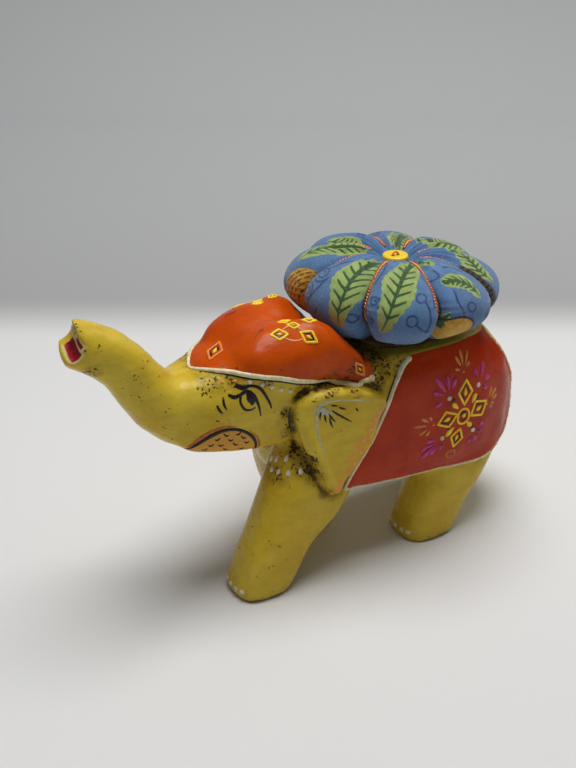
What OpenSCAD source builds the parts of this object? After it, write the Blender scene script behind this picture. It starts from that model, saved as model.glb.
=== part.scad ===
// Carved elephant pin cushion.
// A carved wooden elephant stands with its trunk raised and faces -X. A gathered
// fabric cushion sits on its flat back, on a turned block that plugs into a well.
// The origin is on the ground, at the middle of the whole object's box. +Z is up.

/* [Elephant] */
// Greatest width of the torso
torso_w = 55; // [50:1:58]
// Height of the flat seat on the back
seat_z = 84; // [82:1:85]
// Width of the head across the cheeks
head_w = 39; // [35:1:42]
// How far the right legs step behind the left legs
stride = 36; // [28:1:36]
// Width of a foot, across the body
foot_w = 21; // [18:1:22]
// Radius of the raised paste lines
line_r = 0.8; // [0.6:0.1:1.2]

/* [Cushion] */
// Diameter over the padded segments
cushion_d = 80; // [72:1:80]
// Height of the cushion above the seat
cushion_h = 32.5; // [28:0.5:34]
// How far the cords pull in below the segments at the widest place
groove_depth = 5; // [3:0.5:6]
// Diameter of the metallic cords
cord_d = 1.3; // [1:0.1:1.6]
// How much higher the front edge stands than the middle, at the top
lean = 3; // [0:0.5:4]
// Direction of the first cord, from the elephant's left side towards its head
cord_turn = 8.5; // [0:0.5:22]
// Diameter of the button on top
button_d = 9.6; // [9:0.2:11]

/* [Seat block] */
// Diameter of the well in the back
well_d = 36; // [32:1:38]
// Depth of the well
well_depth = 10; // [8:1:12]
// Clearance between the block and the well, all round
fit_gap = 0.3; // [0.3:0.1:0.6]

/* [Hidden] */

// Cushion
segments = 8;
cushion_x = 37.5;
cushion_r = cushion_d / 2;
base_z = seat_z + fit_gap;
top_z = base_z + cushion_h;
waist_z = base_z + 0.5 * cushion_h;
dimple = 6.5;
cloth = 0.8;
thread_r = 0.35;
strand_x = 1.2;
needle_r = 2;
button_h = 2.2;
button_z = top_z - dimple + 0.05;

// Seat block
block_r = well_d / 2 - fit_gap;
block_z = seat_z - well_depth + fit_gap;
anchor_r = 5;
anchor_h = 2.4;

// Elephant
section_n = 28;
leg_n = 20;
trunk_n = 20;
rump_x = 92;

// Sections across the torso: x, share of the half width, centre z, height up, height down
TORSO = [
    [-16, 0.36, 51, 13, 12],
    [-12, 0.68, 52, 21, 18],
    [-4, 0.84, 55, 28, 23],
    [10, 0.93, 57, 33, 26],
    [28, 0.98, 57, 36, 27.5],
    [48, 1.00, 57, 36, 28.5],
    [62, 0.98, 56, 33, 28],
    [73, 0.89, 54, 27.5, 26],
    [81, 0.73, 51, 21.5, 21],
    [87, 0.50, 49, 14, 15],
    [91, 0.24, 48, 7, 8]
];

// Sections across the head, in the same order
HEAD = [
    [-58, 0.50, 75, 9, 10],
    [-53, 0.68, 73.5, 13.5, 12.5],
    [-46, 0.84, 72.5, 16, 12.5],
    [-36, 0.95, 72.5, 20, 14],
    [-24, 1.00, 73, 23, 16],
    [-12, 1.00, 73, 24, 17],
    [0, 0.98, 71, 19, 17],
    [9, 0.92, 68, 15, 15],
    [15, 0.80, 65, 12, 12]
];

// Rings along the trunk: x, z, half height, half width
TRUNK = [
    [-46, 74, 15, 15],
    [-53.5, 74.5, 13, 12.6],
    [-60, 79, 10.8, 10.6],
    [-65.5, 86.5, 9.4, 9.4],
    [-71, 94.5, 8.8, 8.8],
    [-77.5, 101, 8.8, 8.4],
    [-84, 105, 8.4, 8],
    [-88.8, 107.2, 7.9, 7.4]
];

// Leg rings: z, front x, rear x, outer face. The left legs reach forward, the right legs push back
LEFT_FRONT = [[0, -40, -20, 24.5], [3, -41, -18, 25.6], [17, -37, -10.5, 26.2], [28, -32, 3.5, 26],
              [41, -26, 12, 25], [56, -17, 14, 21]];
LEFT_REAR = [[0, 34, 56, 24.5], [3, 33.2, 57.5, 25.6], [14, 36, 62, 26.2], [26, 40, 71.5, 26.4],
             [40, 42, 80, 25], [52, 46, 78, 20]];
RIGHT_FRONT = [[0, -42, -21.5, 24.5], [3, -43, -19.5, 25.6], [17, -43.5, -18, 26.2], [28, -47, -17, 26],
               [41, -51, -18, 24.5], [56, -50, -18, 20]];
RIGHT_REAR = [[0, 32, 53.5, 24.5], [3, 31, 54.5, 25.6], [14, 26, 54, 26.2], [26, 18, 53, 26],
              [40, 10, 49, 24.5], [52, 12, 46, 20]];

// Ear: points along its rim, x, distance from the middle plane, z
EAR = [
    [-17, 20, 74], [-9, 22.5, 77], [2, 25, 76.5], [13.5, 26.5, 70],
    [8, 27, 57], [-4, 26.5, 41], [-13, 23.5, 58]
];
ear_edge_r = 2.4;
ear_root = [0, 16, 62];
ear_root_r = 5;

// Cap: two lobes on top of the head
lobe_at = [-16.5, 8.8, 86.5];
lobe_r = [20.5, 12.6, 16.8];
// Each lobe runs back into a tail: x, distance from the middle plane, z, radius
LOBE_TAIL = [[-8, 12, 86, 9], [6, 16.5, 82, 5], [14, 20, 79, 2.4]];

// Edge of the cap on the side of the head, x and z, from the forehead to behind the ear
CAP_EDGE = [
    [-49, 89], [-44, 86.5], [-36, 85], [-26, 83], [-16, 81.2], [-6, 80], [4, 79], [10, 78], [15, 76]
];

// Edge of the blanket on the flank, x and z, from the seat's front corner round to its rear corner
BLANKET_EDGE = [
    [28, 82], [22, 76], [17, 68], [11, 57], [4, 44], [1, 38],
    [8, 36], [22, 34], [38, 33], [52, 31.5], [64, 31], [72, 32.5],
    [79, 38], [83, 47], [83, 57], [79, 67], [72, 76], [67, 82]
];

// Middle of the flower on the flank, x and z
rosette_at = [51.5, 54.5];

// Tail: heights of its root, its bend and its tuft, and their radii
TAIL_Z = [63, 48, 35];
TAIL_R = [1.8, 1.8, 2.6];

function signed_pow(v, e) = sign(v) * pow(abs(v), e);
function column(rows, i) = [for (r = rows) [r[0], r[i]]];
function at(rows, i, x) = lookup(x, column(rows, i));

// Half width of a lofted body at x and z, by the rule that its sections follow
top_power = 2.8;
under_power = 5;
function skin(rows, half_w, x, z) =
    let (up = z > at(rows, 2, x),
         power = up ? top_power : under_power,
         t = min(1, abs(z - at(rows, 2, x)) / at(rows, up ? 3 : 4, x)))
    half_w * at(rows, 1, x) * pow(1 - pow(t, power), 1 / power);

function torso_skin(x, z) = skin(TORSO, torso_w / 2, x, z);
function head_skin(x, z) = skin(HEAD, head_w / 2, x, z);
function lobe_skin(x, z) =
    let (rest = 1 - pow((x - lobe_at[0]) / lobe_r[0], 2) - pow((z - lobe_at[2]) / lobe_r[2], 2))
    rest > 0 ? lobe_at[1] + lobe_r[1] * sqrt(rest) : 0;

function section_ring(row, half_w) = [
    for (i = [0 : section_n - 1])
        let (a = 360 * i / section_n, e = 2 / (sin(a) > 0 ? top_power : under_power))
        [row[0], half_w * row[1] * signed_pow(cos(a), e),
         row[2] + (sin(a) > 0 ? row[3] : row[4]) * signed_pow(sin(a), e)]
];

function leg_ring(row) = [
    for (i = [0 : leg_n - 1])
        let (a = 360 * i / leg_n)
        [(row[1] + row[2]) / 2 + (row[2] - row[1]) / 2 * signed_pow(cos(a), 2 / 3),
         row[3] - foot_w / 2 * (1 - signed_pow(sin(a), 2 / 3)), row[0]]
];

// Rings square to a path in the XZ plane
function along_path(rows, i) =
    let (a = rows[max(0, i - 1)], b = rows[min(len(rows) - 1, i + 1)], d = [b[0] - a[0], b[1] - a[1]])
    d / norm(d);
function trunk_ring(i) =
    let (t = along_path(TRUNK, i), r = TRUNK[i])
    [for (k = [0 : trunk_n - 1])
        let (a = 360 * k / trunk_n)
        [r[0] - t[1] * r[2] * sin(a), r[3] * cos(a), r[1] + t[0] * r[2] * sin(a)]];

// A closed solid through rings with the same number of points
module loft(rings) {
    n = len(rings[0]);
    last = (len(rings) - 1) * n;
    caps = [[for (i = [0 : n - 1]) i], [for (i = [n - 1 : -1 : 0]) last + i]];
    sides = [
        for (j = [0 : len(rings) - 2])
            for (i = [0 : n - 1])
                let (a = j * n + i, b = j * n + (i + 1) % n)
                each [[b, a, a + n], [b, a + n, b + n]]
    ];
    polyhedron(points = [for (r = rings) each r], faces = concat(caps, sides));
}

// A round tube through a list of points in space
module tube(points, r, sides = 8) {
    m = len(points);
    loft([
        for (i = [0 : m - 1])
            let (d = points[min(m - 1, i + 1)] - points[max(0, i - 1)],
                 t = d / norm(d),
                 s = cross(t, abs(t[1]) > 0.8 ? [1, 0, 0] : [0, 1, 0]),
                 u = s / norm(s),
                 v = cross(t, u))
            [for (k = [0 : sides - 1])
                points[i] + r * (cos(360 * k / sides) * u + sin(360 * k / sides) * v)]
    ]);
}

module left_and_right() {
    children();
    mirror([0, 1, 0]) children();
}

// The torso is cut flat at the seat
module torso() {
    room = 240;
    intersection() {
        loft([for (row = TORSO) section_ring(row, torso_w / 2)]);
        translate([-room / 2, -room / 2, 0]) cube([room, room, seat_z]);
    }
}

module head() {
    loft([for (row = HEAD) section_ring(row, head_w / 2)]);
    left_and_right() {
        translate(lobe_at) scale(lobe_r) sphere(1, $fn = 24);
        hull()
            for (p = LOBE_TAIL)
                translate([p[0], p[1], p[2]]) sphere(p[3], $fn = 16);
    }
}

module trunk() {
    loft([for (i = [0 : len(TRUNK) - 1]) trunk_ring(i)]);
}

module legs() {
    mirror([0, 1, 0]) {
        loft([for (row = LEFT_FRONT) leg_ring(row)]);
        loft([for (row = LEFT_REAR) leg_ring(row)]);
    }
    translate([stride, 0, 0]) {
        loft([for (row = RIGHT_FRONT) leg_ring(row)]);
        loft([for (row = RIGHT_REAR) leg_ring(row)]);
    }
}

module ears() {
    left_and_right()
        hull() {
            for (p = EAR)
                translate([p[0], -p[1], p[2]]) sphere(ear_edge_r, $fn = 12);
            translate([ear_root[0], -ear_root[1], ear_root[2]]) sphere(ear_root_r, $fn = 12);
        }
}

// The tail lies in relief against the rump
module tail() {
    x = [rump_x - 5, rump_x - TAIL_R[1], rump_x - 3.4];
    for (k = [0, 1])
        hull()
            for (i = [k, k + 1])
                translate([x[i], 0, TAIL_Z[i]]) sphere(TAIL_R[i], $fn = 12);
}

// One block of wood, with a round well in its back
module carved_elephant() {
    headroom = 40;
    color([0.78, 0.68, 0.30])
    difference() {
        resize([0, 0, 0])
        union() {
            torso();
            head();
            trunk();
            legs();
            ears();
            tail();
        }
        translate([cushion_x, 0, seat_z - well_depth])
            cylinder(h = well_depth + headroom, r = well_d / 2, $fn = 96);
    }
}

// The raised line that edges the cap: along both sides, and across the forehead
module cap_outline() {
    left = [for (p = CAP_EDGE) [p[0], -max(head_skin(p[0], p[1]), lobe_skin(p[0], p[1])), p[1]]];
    right = [for (i = [len(left) - 1 : -1 : 0]) [left[i][0], -left[i][1], left[i][2]]];
    color([0.85, 0.78, 0.6])
    tube(concat([for (i = [len(left) - 1 : -1 : 0]) left[i]],
                [for (i = [len(right) - 1 : -1 : 0]) right[i]]), line_r);
}

// The raised line round the saddle blanket on one flank
module blanket_outline() {
    tube([for (p = BLANKET_EDGE) [p[0], -torso_skin(p[0], p[1]), p[1]]], line_r);
}

module blanket_outline_left() {
    color([0.85, 0.78, 0.6]) blanket_outline();
}

module blanket_outline_right() {
    color([0.85, 0.78, 0.6]) mirror([0, 1, 0]) blanket_outline();
}

// Dots of thick white paint in a row under the cap's edge
module forehead_dots() {
    dot_r = 0.9;
    dot_pitch = 4;
    first_x = -40;
    below_edge = 3;
    color("white")
    left_and_right()
        for (i = [0 : 6]) {
            x = first_x + dot_pitch * i;
            z = at(CAP_EDGE, 1, x) - below_edge;
            translate([x, -head_skin(x, z), z]) sphere(dot_r, $fn = 16);
        }
}

// A flower of low raised drops on the flank: four points, four drops between them, one centre
module rosette() {
    sunk = 0.6;
    proud = 0.7;
    point_ring = 7;
    drop_ring = 5;
    dot_ring = 10;
    module drop(x, z, r) {
        translate([x, sunk - torso_skin(x, z), z]) rotate([90, 0, 0])
            cylinder(h = sunk + proud, r1 = r, r2 = r * 0.7, $fn = 24);
    }
    drop(rosette_at[0], rosette_at[1], 1.4);
    for (a = [0 : 90 : 270]) {
        drop(rosette_at[0] + point_ring * cos(a), rosette_at[1] + point_ring * sin(a), 2);
        drop(rosette_at[0] + drop_ring * cos(a + 45), rosette_at[1] + drop_ring * sin(a + 45), 1.2);
        drop(rosette_at[0] + dot_ring * cos(a + 45), rosette_at[1] + dot_ring * sin(a + 45), 1.5);
    }
}

module rosette_left() {
    color([0.8, 0.2, 0.35]) rosette();
}

module rosette_right() {
    color([0.8, 0.2, 0.35]) mirror([0, 1, 0]) rosette();
}

// Three low dabs on the front of each foot
module toenails() {
    nail_r = 1.6;
    nail_pitch = 5;
    set_back = 1.2;
    height = 3.2;
    module foot_nails(front_x) {
        foot_y = LEFT_FRONT[1][3] - foot_w / 2;
        for (k = [-1 : 1])
            translate([front_x + 0.2 + set_back * abs(k), foot_y + nail_pitch * k, height])
                sphere(nail_r, $fn = 16);
    }
    color("white") {
        mirror([0, 1, 0]) {
            foot_nails(LEFT_FRONT[1][1]);
            foot_nails(LEFT_REAR[1][1]);
        }
        translate([stride, 0, 0]) {
            foot_nails(RIGHT_FRONT[1][1]);
            foot_nails(RIGHT_REAR[1][1]);
        }
    }
}

// Cushion: 0 at a cord, 1 at the middle of a segment
function swell(a) =
    let (step = 360 / segments, off = abs(((a - cord_dir(0)) % step + step) % step - step / 2) / (step / 2))
    sqrt(1 - 0.96 * off * off);
function cord_dir(k) = -90 - cord_turn - 360 / segments * k;

// Half outline of a segment: e runs from -90 under the cushion to 90 on top
function seg_r(e) = cushion_r * pow(cos(e), e > 0 ? 0.72 : 0.8);
function seg_z(e) =
    e > 0
        ? waist_z + (top_z - waist_z) * pow(sin(e), 0.92) - dimple * exp(-pow(seg_r(e) / 9.5, 2))
        : waist_z - (waist_z - base_z) * min(1, 1.03 * pow(-sin(e), 1.1));
// The cords pull in most at the waist and not at all at the two ends
function pull(e) = groove_depth * pow(cos(e * 0.93), 0.6);

function cushion_point(e, a, inset) =
    let (r0 = seg_r(e) - inset * cos(e) - (1 - swell(a)) * pull(e) * (0.35 + 0.65 * cos(e)),
         r = max(0.4, r0),
         z = seg_z(e) - inset * sin(e) - (e > 0 ? (1 - swell(a)) * pull(e) * sin(e) : 0),
         tip = -lean * (z - base_z) / cushion_h * r * cos(a) / cushion_r)
    [cushion_x + r * cos(a), r * sin(a), z + tip];

module cushion_solid(inset, around, up) {
    loft([
        for (j = [0 : up])
            let (e = -89 + 178 * j / up)
            [for (i = [0 : around - 1]) cushion_point(e, 360 * i / around + cord_dir(0), inset)]
    ]);
}

module needle_hole() {
    translate([cushion_x, 0, base_z - 5]) cylinder(h = cushion_h + 10, r = needle_r, $fn = 24);
}

module cushion_cover() {
    color([0.35, 0.47, 0.68])
    resize([0, 0, 0])
    difference() {
        cushion_solid(0, 96, 18);
        cushion_solid(cloth, 56, 12);
        needle_hole();
    }
}

module cushion_filling() {
    color([0.92, 0.9, 0.85])
    resize([0, 0, 0])
    difference() {
        cushion_solid(cloth + 0.9, 48, 10);
        needle_hole();
    }
}

// One cord, in the valley between two segments, from under the button to under the cushion
module segment_cord(k) {
    color([0.72, 0.42, 0.2])
    tube([for (j = [0 : 20]) cushion_point(82 - 144 * j / 20, cord_dir(k), -0.3)], cord_d / 2);
}

module top_button() {
    hole_r = 0.7;
    rim = 1.1;
    color([0.95, 0.85, 0.15])
    translate([cushion_x, 0, button_z])
    difference() {
        rotate_extrude($fn = 64)
            polygon([[0, 0], [button_d / 2 - 0.8, 0], [button_d / 2, 0.8], [button_d / 2, 1.6],
                     [button_d / 2 - 0.5, button_h], [button_d / 2 - rim, button_h],
                     [button_d / 2 - rim - 0.6, button_h - 0.7], [0, button_h - 0.7]]);
        for (s = [-1, 1])
            translate([s * strand_x, 0, -1]) cylinder(h = button_h + 2, r = hole_r, $fn = 24);
    }
}

// Two strands that run down through the button, the cushion and the block, with a loop on top
module button_thread() {
    bottom = block_z + 0.4;
    top = button_z + button_h - 0.4;
    color([0.6, 0.2, 0.12])
    translate([cushion_x, 0, 0]) {
        for (s = [-1, 1])
            translate([s * strand_x, 0, bottom]) cylinder(h = top - bottom, r = thread_r, $fn = 16);
        translate([0, 0, top]) rotate([90, 0, 0])
            rotate_extrude(angle = 180, $fn = 32) translate([strand_x, 0]) circle(r = thread_r, $fn = 16);
    }
}

// The button under the block that the thread pulls against
module anchor_button() {
    color([0.3, 0.25, 0.2])
    translate([cushion_x, 0, block_z + 0.2])
    difference() {
        cylinder(h = anchor_h, r = anchor_r, $fn = 48);
        for (s = [-1, 1])
            translate([s * strand_x, 0, -1]) cylinder(h = anchor_h + 2, r = 0.7, $fn = 24);
    }
}

// Turned disc that plugs into the well: a counterbore for the anchor button, and a hole for the thread
module seat_block() {
    color([0.8, 0.66, 0.45])
    translate([cushion_x, 0, 0])
    difference() {
        translate([0, 0, block_z]) cylinder(h = base_z - block_z, r = block_r, $fn = 96);
        translate([0, 0, block_z - 1]) cylinder(h = anchor_h + 1.2, r = anchor_r + 0.3, $fn = 48);
        translate([0, 0, block_z]) cylinder(h = well_depth + 2, r = needle_r, $fn = 24);
    }
}

carved_elephant();
cap_outline();
blanket_outline_left();
blanket_outline_right();
forehead_dots();
rosette_left();
rosette_right();
toenails();
cushion_cover();
cushion_filling();
segment_cord(0);  // segment_cord_1
segment_cord(1);  // segment_cord_2
segment_cord(2);  // segment_cord_3
segment_cord(3);  // segment_cord_4
segment_cord(4);  // segment_cord_5
segment_cord(5);  // segment_cord_6
segment_cord(6);  // segment_cord_7
segment_cord(7);  // segment_cord_8
top_button();
button_thread();
anchor_button();
seat_block();
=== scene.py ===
"""Looks of the carved elephant pin cushion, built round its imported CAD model.

Lengths are millimetres until a mesh is made. The elephant faces -X, and its left side is -Y.
A place on a flank is (x, z). A place on the cushion's cloth is (across, down): millimetres from
the middle of a segment, and along it from the button.
"""

import math

import bmesh
import bpy
import numpy as np
from mathutils import Matrix, Vector, noise
from mathutils.bvhtree import BVHTree


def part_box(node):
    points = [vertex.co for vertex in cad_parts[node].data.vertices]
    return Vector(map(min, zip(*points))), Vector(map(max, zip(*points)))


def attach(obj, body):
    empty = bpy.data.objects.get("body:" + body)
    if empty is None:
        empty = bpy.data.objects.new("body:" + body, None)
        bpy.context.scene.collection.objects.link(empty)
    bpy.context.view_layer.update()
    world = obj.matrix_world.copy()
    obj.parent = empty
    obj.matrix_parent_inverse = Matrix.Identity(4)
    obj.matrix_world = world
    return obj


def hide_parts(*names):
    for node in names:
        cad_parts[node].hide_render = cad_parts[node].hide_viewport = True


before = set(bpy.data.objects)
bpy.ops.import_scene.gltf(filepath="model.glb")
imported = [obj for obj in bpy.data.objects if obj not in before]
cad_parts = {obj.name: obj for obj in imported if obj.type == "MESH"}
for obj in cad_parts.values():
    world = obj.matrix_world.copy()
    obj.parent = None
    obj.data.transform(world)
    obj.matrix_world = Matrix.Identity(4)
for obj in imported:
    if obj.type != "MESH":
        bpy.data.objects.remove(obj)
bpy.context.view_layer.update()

MM = 0.001
LEFT, RIGHT = -1, 1
SIDES = {"left": LEFT, "right": RIGHT}
# Points that are compared with an outline at a time, which keeps the memory small
BATCH = 20000


# Numbers ------------------------------------------------------------------------------------

def unit(v):
    return v / (np.linalg.norm(v, axis=-1, keepdims=True) + 1e-9)


def ease(value, low, high):
    """0 below low, 1 above high, and smooth between."""
    t = np.clip((value - low) / (high - low), 0, 1)
    return t * t * (3 - 2 * t)


def table(rows, x, column=1):
    return np.interp(x, [r[0] for r in rows], [r[column] for r in rows])


def spline(points, steps=8, closed=False):
    """Points along a smooth line through the given ones."""
    p = np.asarray(points, float)
    if closed:
        p = np.vstack([p[-1], p, p[0], p[1]])
    else:
        p = np.vstack([2 * p[0] - p[1], p, 2 * p[-1] - p[-2]])
    t = (np.arange(steps) / steps)[:, None]
    out = []
    for a, b, c, d in zip(p, p[1:], p[2:], p[3:]):
        out.append(b + t * (c - a) / 2 + t**2 * (2 * a - 5 * b + 4 * c - d) / 2
                   + t**3 * (3 * b - a - 3 * c + d) / 2)
    if not closed:
        out.append(p[-2:-1])
    return np.vstack(out)


def polyline(points, steps=6, closed=False):
    """Points along straight lines between the given ones."""
    p = np.asarray(points, float)
    if closed:
        p = np.vstack([p, p[:1]])
    t = (np.arange(steps) / steps)[:, None]
    rows = [a + t * (b - a) for a, b in zip(p, p[1:])]
    return np.vstack(rows if closed else rows + [p[-1:]])


def line_distance(points, line):
    """Distance from points to a line, the share of the line's length there, and the signed side."""
    line = np.asarray(line, float)
    a, edge = line[:-1], np.diff(line, axis=0)
    length = np.linalg.norm(edge, axis=1)
    start = np.concatenate([[0], np.cumsum(length)[:-1]])
    rel = points[:, None] - a
    t = np.clip((rel * edge).sum(-1) / (length**2 + 1e-9), 0, 1)
    gap = np.linalg.norm(rel - t[..., None] * edge, axis=-1)
    nearest = gap.argmin(1)
    row = np.arange(len(points))
    rel, edge = rel[row, nearest], edge[nearest]
    side = np.sign(edge[:, 0] * rel[:, 1] - edge[:, 1] * rel[:, 0])
    along = start[nearest] + t[row, nearest] * length[nearest]
    return gap[row, nearest], along / length.sum(), side


def inside(points, outline):
    """Signed distance from points to a closed outline, positive inside."""
    a = np.asarray(outline, float)
    b = np.roll(a, -1, axis=0)
    out = np.empty(len(points))
    for start in range(0, len(points), BATCH):
        p = points[start:start + BATCH]
        rel = p[:, None] - a
        edge = b - a
        t = np.clip((rel * edge).sum(-1) / (edge**2).sum(-1), 0, 1)
        gap = np.linalg.norm(rel - t[..., None] * edge, axis=-1).min(1)
        x, y = p[:, :1], p[:, 1:]
        rise = np.where(b[:, 1] == a[:, 1], 1e-9, b[:, 1] - a[:, 1])
        before = x < (b[:, 0] - a[:, 0]) * (y - a[:, 1]) / rise + a[:, 0]
        crossed = ((a[:, 1] > y) != (b[:, 1] > y)) & before
        out[start:start + BATCH] = np.where(crossed.sum(1) % 2 == 1, gap, -gap)
    return out


def within(points, outline):
    """Signed distance from points to the smooth closed outline through the given places."""
    return inside(points, spline(outline, 4, closed=True))


def tube_faces(rows, sides, base=0, closed=False, ends=True):
    """Faces between rings of points that follow each other, with both ends shut unless told not to."""
    faces = []
    for i in range(rows if closed else rows - 1):
        here, after = base + i * sides, base + (i + 1) % rows * sides
        for k in range(sides):
            m = (k + 1) % sides
            faces.append((here + k, here + m, after + m, after + k))
    if ends and not closed:
        faces.append(tuple(base + k for k in reversed(range(sides))))
        faces.append(tuple(base + (rows - 1) * sides + k for k in range(sides)))
    return faces


# Materials ----------------------------------------------------------------------------------

def linear(rgb):
    """A colour given as three sRGB numbers up to 255, as Blender's linear colour."""
    c = np.asarray(rgb, float) / 255
    return (*np.where(c > 0.04045, ((c + 0.055) / 1.055) ** 2.4, c / 12.92), 1.0)


class Shader:
    """A node material, written as a few short calls."""

    def __init__(self, name, **constants):
        self.material = bpy.data.materials.new(name)
        self.material.use_nodes = True
        tree = self.material.node_tree
        self.nodes, self.links = tree.nodes, tree.links
        self.bsdf = self.nodes["Principled BSDF"]
        for socket, value in constants.items():
            self.bsdf.inputs[socket.replace("_", " ")].default_value = value
        self.place = self.node("ShaderNodeTexCoord").outputs["Object"]

    def node(self, kind, inputs=None, **settings):
        made = self.nodes.new(kind)
        for key, value in settings.items():
            setattr(made, key, value)
        for key, value in (inputs or {}).items():
            self.put(made.inputs[key], value)
        return made

    def put(self, socket, value):
        if isinstance(value, bpy.types.NodeSocket):
            self.links.new(value, socket)
        else:
            socket.default_value = value

    def attribute(self, name):
        return self.node("ShaderNodeAttribute", attribute_name=name).outputs["Fac"]

    def vector(self, name):
        return self.node("ShaderNodeAttribute", attribute_name=name).outputs["Vector"]

    def noise(self, size, detail=3.0, stretch=None):
        """Noise whose lumps are about size millimetres across."""
        place = self.place
        if stretch:
            place = self.node("ShaderNodeMapping", {"Vector": place, "Scale": stretch}).outputs[0]
        made = self.node("ShaderNodeTexNoise",
                         {"Vector": place, "Scale": 1 / (size * MM), "Detail": detail})
        return made.outputs["Fac"]

    def ramp(self, value, low, high, to_low=0.0, to_high=1.0):
        made = self.node("ShaderNodeMapRange", {"Value": value, "From Min": low, "From Max": high,
                                                "To Min": to_low, "To Max": to_high})
        return made.outputs["Result"]

    def math(self, operation, a, b=0.0):
        return self.node("ShaderNodeMath", {0: a, 1: b}, operation=operation).outputs[0]

    def times(self, a, b):
        return self.math("MULTIPLY", a, b)

    def mix(self, share, a, b):
        """Blends two colours, each a node's output or three sRGB numbers up to 255."""
        made = self.node("ShaderNodeMix", {"Factor": share}, data_type="RGBA")
        for socket, colour in ((made.inputs[6], a), (made.inputs[7], b)):
            self.put(socket, linear(colour) if isinstance(colour, tuple) else colour)
        return made.outputs[2]

    def bump(self, height, depth, below=None):
        made = self.node("ShaderNodeBump", {"Height": height, "Distance": depth * MM, "Strength": 1.0})
        if below is not None:
            self.put(made.inputs["Normal"], below)
        return made.outputs["Normal"]

    def finish(self, colour, roughness=None, normal=None):
        self.put(self.bsdf.inputs["Base Color"], colour)
        if roughness is not None:
            self.put(self.bsdf.inputs["Roughness"], roughness)
        if normal is not None:
            self.put(self.bsdf.inputs["Normal"], normal)
        return self.material


def thick_paint(name, rgb, shade, roughness=0.34):
    """Glossy hand paint: its colour pools darker in places, and its skin is a little uneven."""
    s = Shader(name, Coat_Weight=0.12, Coat_Roughness=0.15, Specular_IOR_Level=0.25)
    pooled = s.ramp(s.noise(1.6, 4), 0.35, 0.7)
    colour = s.mix(pooled, rgb, shade)
    specks = s.ramp(s.noise(0.5, 2), 0.68, 0.74)
    colour = s.mix(s.times(specks, 0.6), colour, (70, 45, 20))
    rough = s.ramp(s.noise(2.5), 0.3, 0.7, roughness - 0.06, roughness + 0.1)
    return s.finish(colour, rough, s.bump(s.noise(0.7), 0.05))


def carved_paint():
    """The elephant's paint. Signed distances stored on the mesh say where each colour lies."""
    s = Shader("painted_wood", Coat_Weight=0.06, Coat_Roughness=0.1, Specular_IOR_Level=0.14)

    def region(name, soft=0.12, ragged=0.0):
        """1 where the stored distance is positive, with an edge that the brush made uneven."""
        value = s.attribute(name)
        if ragged:
            value = s.math("ADD", value, s.ramp(s.noise(2.2, 3), 0.2, 0.8, -ragged, ragged))
        return s.ramp(value, -soft, soft)

    broad = s.ramp(s.noise(16, 4), 0.3, 0.72)
    fine = s.noise(2.4, 5)
    strokes = s.noise(3.0, 3, stretch=(0.25, 1, 1))
    yellow = s.mix(broad, (212, 186, 60), (200, 164, 38))
    yellow = s.mix(s.ramp(strokes, 0.45, 0.75, 0, 0.5), yellow, (176, 150, 46))
    yellow = s.mix(s.ramp(fine, 0.55, 0.8, 0, 0.35), yellow, (222, 202, 100))
    cheek = region("cheek", 0.8, 0.6)
    yellow = s.mix(s.times(cheek, 0.85), yellow, (214, 150, 60))
    tint = s.times(region("ear_tint", 1.6, 1.4), s.ramp(s.noise(1.8, 4), 0.3, 0.6))
    yellow = s.mix(s.times(tint, 0.75), yellow, (222, 138, 62))
    red_patches = s.ramp(s.noise(12, 3), 0.35, 0.65)
    blanket = s.mix(red_patches, (182, 52, 0), (166, 40, 0))
    cap = s.mix(red_patches, (200, 80, 6), (184, 64, 4))
    streaks = s.ramp(s.noise(1.4, 4, stretch=(1, 1, 0.2)), 0.5, 0.8, 0, 0.25)
    blanket = s.mix(streaks, blanket, (190, 74, 24))
    cap = s.mix(streaks, cap, (218, 100, 24))
    crimson = s.mix(s.ramp(s.noise(1.5), 0.4, 0.7), (168, 28, 48), (128, 20, 34))
    cream = (214, 200, 140)
    wood = s.mix(s.ramp(s.noise(1.5, 4, stretch=(1, 1, 0.12)), 0.35, 0.7), (196, 158, 104),
                 (160, 118, 70))
    colour = s.mix(region("blanket"), yellow, blanket)
    colour = s.mix(region("cap"), colour, cap)
    colour = s.mix(region("lip"), colour, cream)
    colour = s.mix(region("mouth"), colour, crimson)
    colour = s.mix(region("bare"), colour, wood)

    painted = s.math("MAXIMUM", region("blanket"), region("cap"))
    hollow = s.ramp(s.attribute("hollow"), 0.16, 0.5)
    grime = s.times(s.attribute("grime"), s.ramp(painted, 0, 1, 1, 0.8))
    lumps = s.math("ADD", s.times(s.noise(1.0, 3), 0.62), s.times(s.noise(3.6, 3), 0.38))
    specks = s.ramp(s.math("SUBTRACT", lumps, s.ramp(grime, 0, 1, 0.66, 0.5)), 0.0, 0.02)
    dirt = s.math("MAXIMUM", specks, s.times(hollow, s.ramp(fine, 0.3, 0.5, 0.5, 1)))
    wash = s.times(s.ramp(s.times(grime, s.noise(2.6, 4)), 0.15, 0.5), 0.6)
    colour = s.mix(wash, colour, (104, 76, 22))
    colour = s.mix(s.times(dirt, 0.92), colour, (50, 31, 9))

    rough = s.ramp(s.noise(6, 4), 0.3, 0.7, 0.2, 0.34)
    rough = s.math("MAXIMUM", rough, s.times(dirt, 0.6))
    rough = s.math("MAXIMUM", rough, s.times(region("bare"), 0.8))
    normal = s.bump(s.noise(1.1, 4), 0.07)
    normal = s.bump(strokes, 0.12, normal)
    normal = s.bump(s.math("SUBTRACT", 1.0, dirt), 0.04, normal)
    return s.finish(colour, rough, normal)


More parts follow.
